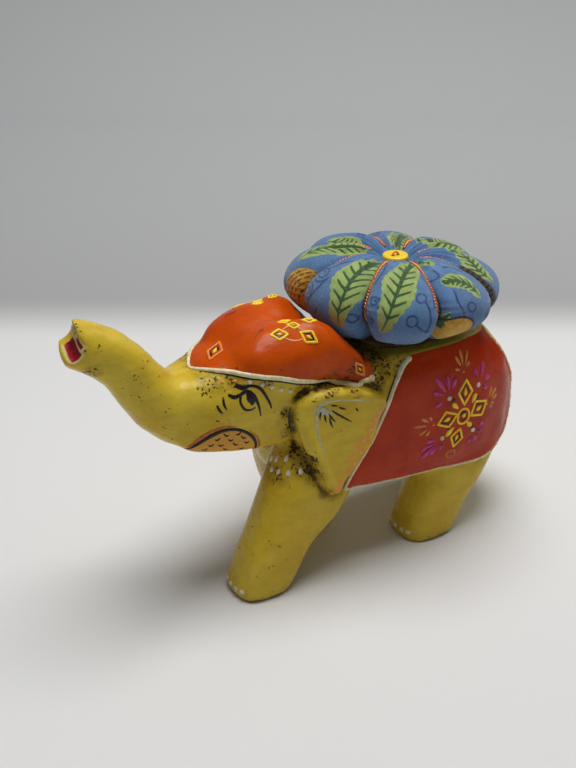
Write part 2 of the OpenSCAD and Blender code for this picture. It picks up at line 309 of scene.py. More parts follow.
def printed_cotton():
    """Plain-weave cotton with its print, from signed distances stored on the mesh, and painted shade that
    darkens its creases.
    """
    s = Shader("printed_cotton", Sheen_Weight=0.25, Sheen_Roughness=0.5, Roughness=0.85)
    s.bsdf.inputs["Specular IOR Level"].default_value = 0.25
    thread = 0.62
    weave = s.vector("weave")
    parts = s.node("ShaderNodeSeparateXYZ", {0: weave})
    warp = s.math("SINE", s.times(parts.outputs[0], math.tau / thread))
    weft = s.math("SINE", s.times(parts.outputs[1], math.tau / thread))
    plain = s.times(warp, weft)
    slub = s.noise(1.2, 3)

    def ink(name, soft=0.12):
        value = s.math("ADD", s.attribute(name), s.times(plain, 0.07))
        value = s.math("ADD", value, s.ramp(slub, 0.3, 0.7, -0.08, 0.08))
        return s.ramp(value, -soft, soft)

    blue = s.mix(s.ramp(s.noise(8, 4), 0.3, 0.7), (98, 138, 182), (78, 114, 160))
    blue = s.mix(s.ramp(s.attribute("purple"), 0, 1, 0, 0.45), blue, (88, 78, 140))
    navy = s.mix(s.ramp(slub, 0.4, 0.7), (32, 52, 104), (44, 72, 128))
    colour = s.mix(s.times(ink("curls", 0.2), 0.9), blue, navy)
    green = s.mix(s.ramp(s.noise(3, 3), 0.35, 0.7), (172, 192, 108), (146, 170, 84))
    green = s.mix(s.ramp(s.attribute("autumn"), 0, 1), green, (160, 134, 56))
    colour = s.mix(ink("leaves"), colour, green)
    colour = s.mix(ink("gold"), colour, s.mix(s.ramp(s.noise(2, 4), 0.35, 0.65), (230, 180, 44),
                                              (204, 148, 28)))
    colour = s.mix(ink("bark"), colour, (84, 66, 50))
    colour = s.mix(ink("veins"), colour, (52, 88, 24))
    colour = s.mix(ink("hatch"), colour, (44, 34, 30))
    threads = s.ramp(plain, -1, 1, 0, 0.34)
    colour = s.mix(threads, colour, (24, 36, 64))
    colour = s.mix(s.ramp(s.noise(0.6, 2), 0.56, 0.74, 0, 0.24), colour, (190, 204, 220))
    # Painted shade: the cloth's colour goes towards near-black navy in its creases and along the lower part
    # of the cords.
    hollow = s.ramp(s.attribute("hollow"), 0.2, 1.0)
    colour = s.mix(s.times(hollow, 0.9), colour, (10, 13, 26))
    normal = s.bump(plain, 0.05)
    normal = s.bump(s.noise(1.4, 3), 0.12, normal)
    return s.finish(colour, None, normal)


def metallic_cord():
    s = Shader("metallic_cord", Metallic=0.85)
    lay = s.noise(0.45, 2)
    colour = s.mix(s.ramp(s.noise(9, 2), 0.35, 0.65), (226, 128, 56), (206, 118, 84))
    colour = s.mix(s.ramp(lay, 0.5, 0.75), colour, (250, 190, 120))
    colour = s.mix(s.ramp(s.noise(1.1, 2), 0.6, 0.75), colour, (120, 60, 34))
    return s.finish(colour, s.ramp(lay, 0.3, 0.7, 0.25, 0.5), s.bump(s.noise(0.25), 0.04))


def button_plastic():
    s = Shader("yellow_plastic", Coat_Weight=0.3, Coat_Roughness=0.1, Subsurface_Weight=0.05)
    colour = s.mix(s.ramp(s.noise(4, 3), 0.35, 0.7), (252, 214, 0), (240, 190, 0))
    scuffs = s.ramp(s.noise(0.8, 4), 0.66, 0.75, 0, 0.35)
    colour = s.mix(scuffs, colour, (200, 140, 20))
    return s.finish(colour, s.ramp(s.noise(3), 0.3, 0.7, 0.3, 0.42), s.bump(s.noise(2, 3), 0.03))


def dark_plastic():
    s = Shader("dark_plastic", Coat_Weight=0.2)
    colour = s.mix(s.ramp(s.noise(2, 4), 0.4, 0.7), (62, 48, 38), (88, 70, 54))
    return s.finish(colour, s.ramp(s.noise(1.5), 0.3, 0.7, 0.3, 0.5), s.bump(s.noise(0.8), 0.03))


def cotton_thread():
    s = Shader("red_thread", Sheen_Weight=0.3)
    twist = s.node("ShaderNodeTexWave", {"Vector": s.place, "Scale": 700, "Distortion": 1.5},
                   bands_direction="DIAGONAL").outputs["Fac"]
    colour = s.mix(s.ramp(twist, 0.2, 0.8), (196, 104, 24), (232, 150, 40))
    return s.finish(colour, 0.8, s.bump(twist, 0.06))


def turned_wood():
    s = Shader("bare_wood")
    rings = s.node("ShaderNodeTexWave", {"Vector": s.place, "Scale": 90, "Distortion": 5, "Detail": 3},
                   wave_type="RINGS", rings_direction="X").outputs["Fac"]
    colour = s.mix(s.ramp(rings, 0.2, 0.8), (206, 168, 112), (172, 130, 80))
    colour = s.mix(s.ramp(s.noise(0.8, 5, stretch=(1, 1, 0.1)), 0.55, 0.75, 0, 0.5), colour,
                   (120, 84, 48))
    return s.finish(colour, s.ramp(s.noise(2), 0.3, 0.7, 0.55, 0.75), s.bump(rings, 0.06))


def cotton_wadding():
    s = Shader("wadding", Sheen_Weight=0.4)
    tufts = s.noise(1.5, 5)
    colour = s.mix(s.ramp(tufts, 0.3, 0.7), (238, 234, 224), (206, 198, 184))
    return s.finish(colour, 0.95, s.bump(tufts, 0.4))


# Where the camera stands and looks, as chosen by trial from the photo
HEADING, PITCH = math.radians(31), math.radians(27)
CAMERA_AT = (-198.6, -317.2, 260)
LENS_MM, SENSOR_MM = 53.9, 36


def paper_with_painted_shade():
    """Pale paper with painted shade, which turns it grey behind the elephant, as the backdrop does in the
    photo.
    """
    s = Shader("paper_with_painted_shade", Roughness=0.8, Specular_IOR_Level=0.1)
    pale = s.mix(s.ramp(s.noise(300, 2), 0.3, 0.7), (227, 227, 226), (223, 223, 222))
    away = s.node("ShaderNodeVectorMath", {0: s.place, 1: (math.sin(HEADING), math.cos(HEADING), 0)},
                  operation="DOT_PRODUCT").outputs["Value"]
    # Painted shade: beyond about 0.2 m along the camera's heading the paper is coloured grey, a little
    # lighter further away.
    grey = s.mix(s.ramp(away, 0.24, 0.62), (170, 171, 171), (200, 201, 202))
    colour = s.mix(s.node("ShaderNodeMapRange", {"Value": away, "From Min": 0.185, "From Max": 0.25},
                          interpolation_type="SMOOTHSTEP").outputs["Result"], pale, grey)
    return s.finish(colour, None, s.bump(s.noise(1.0), 0.01))


# Meshes -------------------------------------------------------------------------------------

def new_object(name, mesh):
    made = bpy.data.objects.new(name, mesh)
    bpy.context.scene.collection.objects.link(made)
    return made


def new_mesh(name, points, faces):
    mesh = bpy.data.meshes.new(name)
    mesh.from_pydata((np.asarray(points) * MM).tolist(), [], faces)
    mesh.shade_smooth()
    return mesh


def store(mesh, name, values):
    mesh.attributes.new(name, "FLOAT", "POINT").data.foreach_set("value", values.astype(np.float32))


def points_of(mesh):
    co = np.empty(len(mesh.vertices) * 3)
    mesh.vertices.foreach_get("co", co)
    return co.reshape(-1, 3) / MM


def normals_of(mesh, points):
    """Moves the mesh's vertices to points and returns its vertex normals."""
    mesh.vertices.foreach_set("co", (points * MM).ravel())
    mesh.update()
    n = np.empty(len(points) * 3, np.float32)
    mesh.vertex_normals.foreach_get("vector", n)
    return n.reshape(-1, 3).astype(float)


def faces_of(mesh):
    return [tuple(p.vertices) for p in mesh.polygons]


def edges_of(mesh):
    e = np.empty(len(mesh.edges) * 2, int)
    mesh.edges.foreach_get("vertices", e)
    return e.reshape(-1, 2)


def tree_of(points, faces):
    return BVHTree.FromPolygons(points.tolist(), faces)


def blur(values, edges, rounds, share=0.5):
    """Values at vertices, moved towards the mean of their neighbours."""
    a, b = edges.T
    count = len(values)
    degree = np.bincount(edges.ravel(), minlength=count)
    values = values.copy()
    columns = values.reshape(count, -1)
    for _ in range(rounds):
        for i in range(columns.shape[1]):
            v = columns[:, i]
            total = np.bincount(a, v[b], count) + np.bincount(b, v[a], count)
            columns[:, i] = v + share * (total / degree - v)
    return values


def place_piece(name, mesh, material, body, replaces=()):
    made = new_object(name, mesh)
    if material:
        mesh.materials.append(material)
    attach(made, body)
    if replaces:
        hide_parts(*replaces)
    return made


def box_of(node):
    low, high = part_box(node)
    return np.array(low) / MM, np.array(high) / MM


# Camera, stage and light --------------------------------------------------------------------

def aim(obj, target):
    """Turns a camera or light to face target."""
    obj.rotation_euler = (Vector(target) - obj.location).to_track_quat("-Z", "Y").to_euler()


def make_camera():
    data = bpy.data.cameras.new("camera")
    data.lens = LENS_MM
    data.sensor_width = SENSOR_MM
    camera = new_object("camera", data)
    camera.location = Vector(CAMERA_AT) * MM
    level = math.cos(PITCH)
    forward = Vector((math.sin(HEADING) * level, math.cos(HEADING) * level, -math.sin(PITCH)))
    camera.rotation_euler = forward.to_track_quat("-Z", "Y").to_euler()
    bpy.context.scene.camera = camera


def make_stage():
    """A floor that sweeps up into a backdrop, square to the camera's heading."""
    away, reach, bend, rise = 640, 1600, 160, 1300
    profile = [(-reach, 0), (0, 0), (away, 0)]
    for k in range(1, 25):
        a = math.radians(90 * k / 24)
        profile.append((away + bend * math.sin(a), bend - bend * math.cos(a)))
    profile.append((away + bend, rise))
    points, faces = [], []
    for d, z in profile:
        for across in (-reach, reach):
            points.append((across * math.cos(HEADING) + d * math.sin(HEADING),
                           -across * math.sin(HEADING) + d * math.cos(HEADING), z))
    for i in range(len(profile) - 1):
        faces.append((2 * i, 2 * i + 1, 2 * i + 3, 2 * i + 2))
    mesh = new_mesh("studio_floor", points, faces)
    mesh.materials.append(paper_with_painted_shade())
    new_object("studio_floor", mesh)


def area_light(name, place, size, watts, colour=(1, 1, 1), target=(0, 0, 0.05)):
    data = bpy.data.lights.new(name, "AREA")
    data.shape = "DISK"
    data.size = size
    data.energy = watts
    data.color = colour
    light = new_object(name, data)
    light.location = place
    aim(light, target)


def make_lights():
    area_light("key", (0.04, 0.0, 0.95), 0.6, 7.6, (1.0, 0.99, 0.98))
    area_light("side", (0.75, 0.05, 0.75), 0.5, 1.2, (1.0, 0.99, 0.97))
    area_light("front", (-0.75, -0.9, 0.7), 0.7, 0.3, (0.95, 0.98, 1.0))
    world = bpy.data.worlds.new("studio")
    bpy.context.scene.world = world
    world.use_nodes = True
    background = world.node_tree.nodes["Background"]
    background.inputs["Color"].default_value = (0.93, 0.96, 1.0, 1)
    background.inputs["Strength"].default_value = 0.12
    bpy.context.scene.view_settings.view_transform = "Standard"


# The carved elephant ------------------------------------------------------------------------

block_low, block_high = box_of("seat_block")
FIT = 0.3
AXIS_X = (block_low[0] + block_high[0]) / 2
WELL_R = (block_high[0] - block_low[0]) / 2 + FIT
BASE_Z = block_high[2]
SEAT_Z = BASE_Z - FIT
WELL_FLOOR = block_low[2] - FIT

# Lower edge of the cap on the side of the head: x, z. Behind CAP_REAR the head is yellow again
CAP_EDGE = [(-50, 88.5), (-44, 88.6), (-38, 88.6), (-32, 88), (-24, 86.4), (-16, 84), (-8, 81), (0, 78.8),
            (6, 77.6), (12, 77.4)]
CAP_REAR = 13.5
# The blanket's outline on the flank, from the seat's front corner down and round to its rear corner
BLANKET = [(29, 85), (28, 82.5), (24.5, 79.5), (21, 74), (17.5, 67), (13, 58), (7, 47), (2.5, 38.5),
           (2.5, 36.2), (14, 34.8), (30, 33.6), (48, 32.6), (62, 31.8), (70, 33), (77, 38.5),
           (81.5, 47), (82, 56), (78.5, 66), (73, 75), (68.5, 81), (67, 85)]
EAR = [(-17.5, 75), (-12, 78.3), (-4, 79), (6, 77), (14, 74), (17.5, 70), (15, 62), (7, 51), (1, 38.5),
       (-4.5, 37), (-8.5, 41), (-12, 50), (-15.5, 60), (-18, 69)]
EAR_PANEL = [(-11.5, 74), (-4, 75.4), (6, 73.6), (13.5, 70.5), (12.5, 63), (5, 52), (-1, 42), (-4.5, 42),
             (-8.5, 53), (-12, 65)]
EAR_TINT = [(12.5, 69), (18, 71), (16, 60), (7, 50), (1, 37), (-7, 37), (-5, 44), (-0.5, 51), (6, 61)]
CHEEK = [(-55, 61), (-54, 65.5), (-50, 68.3), (-46, 70.3), (-42, 71), (-38, 70), (-34, 67),
         (-31.5, 62), (-31, 58)]


# The cap's lobes run back to the seat along this line: x, height, distance from the middle plane
LOBE_RIDGE = [(-16, 101, 9), (-10, 101.2, 11), (-5, 100.6, 12.5), (0, 97.6, 13.5), (4, 93.2, 15),
              (8, 88.8, 16.5), (12, 85, 18), (15, 83, 19)]


def ear_face(x, z):
    """How far from the middle plane the ear's outer face stands."""
    return 27.5 + 0.17 * x - 0.04 * (z - 60)


TIP = np.array([-88.8, 0, 107.2])
OUT = unit(np.array([-4.8, 0, 2.2]))
ROLL = math.radians(18)
RISE = np.array([OUT[2], 0, -OUT[0]])
ACROSS = np.array([0, -math.cos(ROLL), 0]) - RISE * math.sin(ROLL)
UPWARD = RISE * math.cos(ROLL) - np.array([0, math.sin(ROLL), 0])
# Profile of the trunk's open end: height across the mouth, and how far it stands out
LIPS = [(-9, -3.2), (-7.5, -1.6), (-5.5, 0.3), (-3.6, 0.7), (-2.4, -0.6), (-1, -1.6), (1.2, -2.0),
        (2.4, -1.3), (4, -1.4), (6, 0.8), (8, 2.8), (9.5, 4.0)]

# Dirt that was rubbed into the carving: x, z, radius, strength
GRIME = [(-14.5, 53, 5, 1.5), (-12.5, 48, 4, 1.3), (-15, 50, 8, 0.8), (-19, 57, 4, 0.9),
         (-20, 64, 5, 0.9), (-20.5, 72, 4.5, 1.0), (-15, 80, 6, 0.75),
         (-6, 80, 7, 0.7), (3, 79, 7, 0.8), (-22, 70, 6, 0.45), (-38, 87.4, 6, 0.85), (-45, 86, 7, 0.7),
         (-28, 85.5, 4, 0.7), (16, 82, 10, 1.0), (14, 77, 7, 1.0), (6, 83, 7, 1.0), (-2, 83, 6, 0.8),
         (-12, 46, 6, 0.8), (-8, 39, 5, 0.8), (-24, 47, 8, 0.6), (-84, 98, 6, 0.75), (-88, 112, 5, 0.6),
         (-46, 93, 7, 0.5), (24, 80, 8, 0.7), (-68, 92, 9, 0.35), (-84, 104, 8, 0.3), (-60, 74, 10, 0.2),
         (30, 26, 16, 0.2), (-34, 20, 16, 0.2), (-30, 50, 8, 0.5), (-16, 28, 10, 0.3), (-40, 55, 8, 0.4)]


# Size of the remeshed quads, and how many rounds of blurring wear the CAD's facets away
VOXEL, WEAR = 0.85, 34
# The back above this height is stretched until it meets the flat seat
SHOULDER_Z, SHOULDER_STRETCH = 80.5, 1.25


def remeshed(node, voxel):
    """The CAD node's shape as an even mesh of small quads."""
    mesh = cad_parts[node].data.copy()
    welded = bmesh.new()
    welded.from_mesh(mesh)
    bmesh.ops.remove_doubles(welded, verts=welded.verts, dist=1e-6)
    welded.to_mesh(mesh)
    welded.free()
    source = new_object("remesh_source", mesh)
    modifier = source.modifiers.new("remesh", "REMESH")
    modifier.mode = "VOXEL"
    modifier.voxel_size = voxel * MM
    depsgraph = bpy.context.evaluated_depsgraph_get()
    made = bpy.data.meshes.new_from_object(source.evaluated_get(depsgraph))
    bpy.data.objects.remove(source)
    made.materials.clear()
    made.shade_smooth()
    return made


def crest(x):
    """Height of the top of the cap's two lobes at x."""
    lobe = 86.5 + 16.8 * np.sqrt(np.clip(1 - ((x + 16.5) / 20.5) ** 2, 0, 1))
    return np.maximum(lobe, np.interp(x, [-60, -8, 6, 14], [86, 95, 87, 82]))


def regions(p):
    """Signed distances, positive inside, of the painted regions at points p."""
    x, y, z = p.T
    side = np.column_stack([x, z])
    cap = np.minimum(z - table(CAP_EDGE, x), CAP_REAR - x)
    cap = np.where(x < -46.5, np.minimum(cap, (x + 49) * 0.7), cap)
    blanket = within(side, BLANKET)
    blanket = np.where(np.abs(y) < 8, -3, blanket)
    blanket = np.minimum(blanket, SEAT_Z - 0.5 - z)
    on_ear = np.abs(y) > ear_face(x, z) - 3.2
    ear = np.where(on_ear, within(side, EAR), -5)
    blanket = np.where(ear > -0.3, -3, blanket)
    panel = np.where(on_ear, within(side, EAR_PANEL), -5)
    tint = np.where(on_ear, within(side, EAR_TINT), -5)
    beside = np.where(np.abs(y) > 9, within(side, EAR), -20)
    behind_rear = ease(x - 8 - (z - 55) * 0.4, 0, 3)
    crack = np.where(on_ear & (beside > -0.2), 0, np.exp(-(((beside + 0.9) / 1.1) ** 2))) * (1 - behind_rear)
    cheek = np.where(np.abs(y) > 8, within(side, CHEEK), -5)
    local = p - TIP
    out, up, across = local @ OUT, local @ UPWARD, local @ ACROSS
    end = out + 5.5
    mouth = np.minimum(1.9 - np.abs(up + 0.8), end - 0.2)
    mouth = np.minimum(mouth, 4.6 - np.abs(across - 2.0))
    sliver = np.minimum(np.minimum(0.8 - np.abs(up - 3.1), end - 1.0), 2.4 - np.abs(across - 3.6))
    mouth = np.maximum(mouth, sliver)
    lip = np.minimum(np.minimum(mouth + 0.55, end), -mouth)
    hole = np.minimum(WELL_R + 0.6 - np.hypot(x - AXIS_X, y), np.minimum(SEAT_Z + 0.5 - z, z - 70))
    return {"cap": cap, "blanket": blanket, "ear": ear, "panel": panel, "ear_tint": tint,
            "cheek": cheek, "mouth": mouth, "lip": lip, "bare": hole, "crack": crack}


def sculpt():
    """The wooden body: the CAD shape with its facets worn smooth, then carved."""
    mesh = remeshed("carved_elephant", VOXEL)
    p, edges = points_of(mesh), edges_of(mesh)
    # Blurring takes the facets away. Adding back the blurred loss keeps the body from shrinking
    soft = blur(p, edges, WEAR)
    soft += blur(p - soft, edges, WEAR)
    ear = within(p[:, ::2], EAR)
    crisp = ease(ear, -4, -1) * ease(np.abs(p[:, 1]), 12, 16)
    p = soft + crisp[:, None] * (blur(p, edges, 6) - soft)
    x, y, z = p.T

    # The cap's front comes down, the furrow between its lobes fills, and their ridges rise
    z = z - 2.3 * ease(z, 91, 101) * ease(-x, -6, 2) * ease(x, -48, -36)
    fill = ease(9.5 - np.abs(y), 0, 6) * ease(-x, -11, -4) * ease(x, -40, -30) * ease(z, 80, 84)
    dip = table([(-40, 0.2), (-26, 0.8), (-16, 2.6), (-6, 4.5), (10, 5)], x) * (1 - np.abs(y) / 9.5)
    target = crest(x) - dip - 2.2
    z = z + fill * np.clip(target - z, 0, 20)
    p = np.column_stack([x, y, z])
    upward = ease(normals_of(mesh, p)[:, 2], 0.05, 0.5)
    beside = (np.abs(y) - table(LOBE_RIDGE, x, 2)) / 8
    rise = np.clip(table(LOBE_RIDGE, x) - 7 * beside**2 - z, 0, 7)
    rise = rise * upward * (np.abs(beside) < 1.3) * (z > 79)
    p[:, 2] += rise * ease(x, -14, -9) * ease(-x, -14.5, -13)
    touched = np.maximum(ease(fill, 0.02, 0.3), ease(rise, 0.05, 0.6))
    p = p + touched[:, None] * (blur(p, edges, 12) - p)

    # The trunk's end is drawn out to the profile of its lips
    local = p - TIP
    out, up = local @ OUT, local @ UPWARD
    p = p + (ease(out, -9, -0.5) * table(LIPS, up))[:, None] * OUT

    # Painted regions stand proud, cracks and the mouth are cut in, and the surface wanders a little
    part = regions(p)
    normals = normals_of(mesh, p)
    lift = 0.5 * ease(part["cap"], -0.3, 0.9) + 0.5 * ease(part["blanket"], -0.3, 0.7)
    lift += ease(part["ear"], 0.1, 1.6) * (1.3 * ease(-part["panel"], -0.6, 1.2) - 0.6)
    lift -= 1.2 * part["crack"]
    lift -= 0.6 * ease(part["mouth"], 0, 0.8)
    lift += 0.3 * ease(part["lip"], 0, 0.3)
    wobble = np.array([noise.fractal(Vector(v) / 15, 0.8, 2.1, 3) for v in p]) * 0.28
    chips = np.array([noise.noise(Vector((v[0], v[1], v[2] * 0.6)) / 3.4) for v in p]) * 0.05
    p = p + (lift + wobble + chips)[:, None] * normals
    p = blur(p, edges, 1)
    return mesh, hold_flat(p)


def hold_flat(p):
    """Keeps the seat and soles flat, and the well a true bore with room for the block."""
    x, y, z = p.T
    stretched = SHOULDER_Z + (z - SHOULDER_Z) * SHOULDER_STRETCH
    z = np.where((x > 13) & (z > SHOULDER_Z), stretched, z)
    z = np.where(x > 10, np.minimum(z, SEAT_Z), z)
    z = np.where(z < 0.5, 0, z)
    from_axis = np.hypot(x - AXIS_X, y)
    in_well = (from_axis < WELL_R + 0.9) & (z > WELL_FLOOR - 0.6)
    wall = in_well & (from_axis > WELL_R - 1.4)
    push = np.where(wall, np.maximum(WELL_R / np.maximum(from_axis, 1), 1), 1)
    x = AXIS_X + (x - AXIS_X) * push
    y = y * push
    z = np.where(in_well & (z < WELL_FLOOR + 1.2), WELL_FLOOR, z)
    return np.column_stack([x, y, z])


def make_elephant():
    mesh, p = sculpt()
    edges = edges_of(mesh)
    normals = normals_of(mesh, p)
    part = regions(p)
    for name in ("cap", "blanket", "ear_tint", "cheek", "mouth", "lip", "bare"):
        store(mesh, name, part[name])
    hollow = ((blur(p, edges, 10) - p) * normals).sum(1)
    store(mesh, "hollow", blur(hollow, edges, 1))
    grime = np.zeros(len(p))
    for gx, gz, radius, strength in GRIME:
        near = strength * ease(radius - np.hypot(p[:, 0] - gx, p[:, 2] - gz), 0, radius * 0.8)
        grime = np.maximum(grime, near)
    grime = np.maximum(grime, 0.5 * ease(6 - p[:, 2], 0, 6))
    store(mesh, "grime", grime)
    place_piece("carved_wood", mesh, carved_paint(), "elephant", ["carved_elephant"])
    return tree_of(p, faces_of(mesh))


# Raised paint -------------------------------------------------------------------------------

# Points round a stroke of paint
RING = 8
# Distances from the middle plane: well outside the wood, and about on the flank
CLEAR_Y, FLANK_Y = 70, 22
# Distance of a foot's middle from the middle plane, and between two toenails
FOOT_Y, NAIL_STEP = 15.1, 4.2


class Paint:
    """Raised strokes, drops and dots of paint, gathered into one mesh with one slot per colour."""

    def __init__(self, name, colours):
        self.name, self.colours = name, list(colours)
        self.points, self.faces, self.slots = [], [], []
        self.count = 0

    def add(self, points, faces, colour):
        self.points.append(points)
        self.faces += [tuple(i + self.count for i in f) for f in faces]
        self.slots += [self.colours.index(colour)] * len(faces)
        self.count += len(points)

    def stroke(self, places, width, colour, height=0.3, closed=False, sunk=0.35):
        """A line of paint along places, which are (points, normals) on the surface."""
        centre, normal = places
        n = len(centre)
        given = np.atleast_1d(width)
        width = np.interp(np.linspace(0, 1, n), np.linspace(0, 1, len(given)), given)
        if closed:
            along = np.roll(centre, -1, 0) - np.roll(centre, 1, 0)
        else:
            along = np.gradient(centre, axis=0)
        side = unit(np.cross(normal, unit(along)))
        rings = []
        for k in range(RING):
            a = math.tau * k / RING
            up = height * math.sin(a) if math.sin(a) > 0 else sunk * math.sin(a)
            share = np.minimum(1, width / max(width.max(), 1e-6) + 0.25)
            rise = (up * share if up > 0 else np.full(n, up))[:, None]
            rings.append(centre + side * (width / 2 * math.cos(a))[:, None] + normal * rise)
        points = np.stack(rings, 1).reshape(-1, 3)
        self.add(points, tube_faces(n, RING, closed=closed), colour)

    def dot(self, place, radius, colour, height=0.5):
        """A round bead of paint."""
        centre, normal = place[0][0], place[1][0]
        side = unit(np.cross(normal, (0.3, 0.5, 0.8)))
        other = np.cross(normal, side)
        sides, rows = 14, [(1.0, -0.3), (1.0, 0.0), (0.86, 0.5), (0.5, 0.87)]
        turns = [math.tau * k / sides for k in range(sides)]
        points = [centre + radius * r * (math.cos(a) * side + math.sin(a) * other) + normal * (height * h)
                  for r, h in rows for a in turns]
        points.append(centre + normal * height)
        faces = tube_faces(len(rows), sides, ends=False)
        last = (len(rows) - 1) * sides
        faces += [(last + k, last + (k + 1) % sides, len(points) - 1) for k in range(sides)]
        faces.append(tuple(reversed(range(sides))))
        self.add(np.array(points), faces, colour)

    def finish(self, slot, replaces=()):
        mesh = new_mesh(self.name, np.vstack(self.points), self.faces)
        for colour in self.colours:
            mesh.materials.append(PAINTS[colour])
        mesh.polygons.foreach_set("material_index", self.slots)
        return place_piece(self.name, mesh, None, "elephant", replaces)


def on_flank(side):
    """Puts (x, z) places on that side of the wood."""
    def put(places):
        points, normals = [], []
        for x, z in places:
            point, normal, _, _ = WOOD.ray_cast(Vector((x, side * CLEAR_Y, z)), Vector((0, -side, 0)))
            if point is None:
                point, normal, _, _ = WOOD.find_nearest(Vector((x, side * FLANK_Y, z)))
            points.append(point)
            normals.append(normal)
        return np.array(points), unit(np.array(normals))
    return put


def on_wood(places):
    """Puts places given as (x, y, z) on the nearest wood."""
    found = [WOOD.find_nearest(Vector(p))[:2] for p in places]
    return np.array([f[0] for f in found]), unit(np.array([f[1] for f in found]))


def on_cap(anchor, side):
    """Puts (right, up) places on the cap, measured from an anchor on its near side."""
    point, normal = on_wood([(anchor[0], side * abs(anchor[1]), anchor[2])])
    point, normal = point[0], normal[0]
    right = unit(np.array([1.0, 0, 0]) - normal * normal[0])
    up = np.cross(normal, right) * -side

    def put(places):
        return on_wood([point + u * right + v * up for u, v in places])
    return put


def even(places):
    """The same places with normals smoothed along the line."""
    centre, normal = places
    for _ in range(3):
        normal = unit(normal + np.roll(normal, 1, 0) * 0.5 + np.roll(normal, -1, 0) * 0.5)
    return centre, normal


def line(paint, put, points, width, colour, height=0.25):
    paint.stroke(put(spline(points, 6)), width, colour, height)


def drop(paint, put, tail, bulb, width, colour, height=0.45):
    """A teardrop of paint from its thin tail to its round end."""
    widths = [0.15, 0.4, 0.7, 0.95, 1.0, 0.86, 0.3]
    tail, bulb = np.array(tail, float), np.array(bulb, float)
    steps = np.linspace(0, 1, 11)[:, None]
    paint.stroke(put(tail + steps * (bulb - tail)), np.array(widths) * width, colour, height)


def around(centre, angle, reach):
    a = math.radians(angle)
    return (centre[0] + reach * math.cos(a), centre[1] + reach * math.sin(a))


def jewel(paint, put, centre, length, width, turn, frame_colour="yellow"):
    """A diamond outline with dark paint and a bright drop inside."""
    corners = [around(centre, turn + 90 * k, (length, width)[k % 2] / 2) for k in range(4)]
    paint.stroke(even(put(polyline(corners, 7, closed=True))), 0.95, frame_colour, 0.4, closed=True)
    for k, share in ((0, 0.62), (1, 0.6), (3, 0.5)):
        a, b = (np.array(centre) + (np.array(corners[j % 4]) - centre) * share for j in (k, k + 1))
        middle = (a + b) / 2 + (a + b - 2 * np.array(centre)) * 0.06
        line(paint, put, [a, middle, b], [0.3, 0.9, 0.3], "black", 0.12)
    drop(paint, put, around(centre, turn, length * 0.2), around(centre, turn + 180, length * 0.14),
         width * 0.24, "yellow", 0.4)


def fan(paint, put, centre, petals, start, width, colour):
    """Drops that spread from a centre: each petal is its angle and how far it reaches."""
    for angle, reach in petals:
        tail = around(centre, angle, min(start, reach * 0.5))
        drop(paint, put, tail, around(centre, angle, reach), width, colour)


FLOWER_AT = (51.5, 54.6)
WHITE_DOTS = [(-6.8, 9.1), (6.7, 11), (5.4, -7.5), (-9.2, -6.9)]
MAGENTA_FANS = [
    [(123, 11.5), (98, 9.4), (72, 8), (150, 8.4), (194, 6.6)],
    [(71, 8.6), (105, 7), (22, 6), (-27, 5)],
    [(21, 5.4), (-22, 5), (-70, 5.4), (-108, 5.6)],
    [(214, 11.4), (197, 10), (177, 7), (259, 4.6), (228, 8)],
]
TAN_FANS = [
    ((-0.4, 18), [(150, 4.6), (117, 7.5), (95, 8.4), (69, 7.7), (48, 4.4)]),
    ((-13.6, 0), [(171, 9), (144, 7), (116, 4.4), (204, 7), (230, 5)]),
    ((11.6, 1.6), [(70, 7), (45, 7.2), (20, 6.2), (-8, 4), (-35, 3.5)]),
]


def make_flower(name, side):
    """The flower on the blanket."""
    paint = Paint(f"painted_flower_{name}", ["yellow", "black", "white", "magenta", "plum", "tan"])
    put_flat = on_flank(side)

    def put(places):
        return put_flat([(FLOWER_AT[0] + u, FLOWER_AT[1] + v) for u, v in places])

    jewel(paint, put, (0.5, 9.8), 10, 6.4, 86)
    jewel(paint, put, (7.4, 1.2), 8.6, 7.4, 28)
    jewel(paint, put, (-7.4, 0.6), 8.8, 7, 194)
    jewel(paint, put, (-2.4, -8.4), 7.6, 5.8, 250)
    oval = [around((0, 0), a, 2.7 + 0.4 * abs(math.sin(math.radians(a)))) for a in range(0, 360, 20)]
    paint.stroke(even(put(oval)), 0.9, "yellow", 0.4, closed=True)
    line(paint, put, [(-1.6, 0.4), (-0.4, 1.7), (1.3, 1.3)], [0.4, 1.3, 0.5], "black", 0.12)
    line(paint, put, [(-1.2, -1.2), (0.2, -1.9), (1.4, -0.9)], [0.3, 0.8, 0.3], "black", 0.12)
    drop(paint, put, (0.9, 1), (-0.2, -0.4), 1.5, "yellow")
    for tail, bulb, dark in (((-2.7, 3.9), (-5.4, 6.8), (-5.0, 7.9)), ((3.9, 4.4), (5.8, 7.9), (6.6, 6.0)),
                             ((1.8, -3), (4.3, -5.3), (5.1, -6.2)), ((-4, -3.4), (-7.7, -6.5), (-6.4, -3.4))):
        drop(paint, put, tail, bulb, 2.1, "yellow", 0.5)
        paint.dot(put([dark]), 0.75, "black", 0.15)
    for centre, petals in zip(WHITE_DOTS, MAGENTA_FANS):
        paint.dot(put([centre]), 0.95, "white", 0.6)
        fan(paint, put, centre, petals, 3.6, 1.9, "magenta")
        for angle, reach in petals[1::2]:
            ends = [around(centre, angle + 4, reach * 0.5), around(centre, angle + 3, reach * 0.95)]
            line(paint, put, ends, [0.2, 0.6, 0.2], "plum", 0.5)
    for centre, petals in TAN_FANS:
        fan(paint, put, centre, petals, 2.6, 1.35, "tan")
        paint.dot(put([centre]), 0.6, "tan", 0.3)
    for turn in (0, 35):
        loop = [around(around((-5.9, -15.6), turn, 1.6), a, 1.1 + 0.9 * abs(math.cos(math.radians(a))))
                for a in range(0, 360, 30)]
        paint.stroke(even(put(loop)), 0.45, "tan", 0.2, closed=True)
    paint.finish("flower_paint", [f"rosette_{name}"])


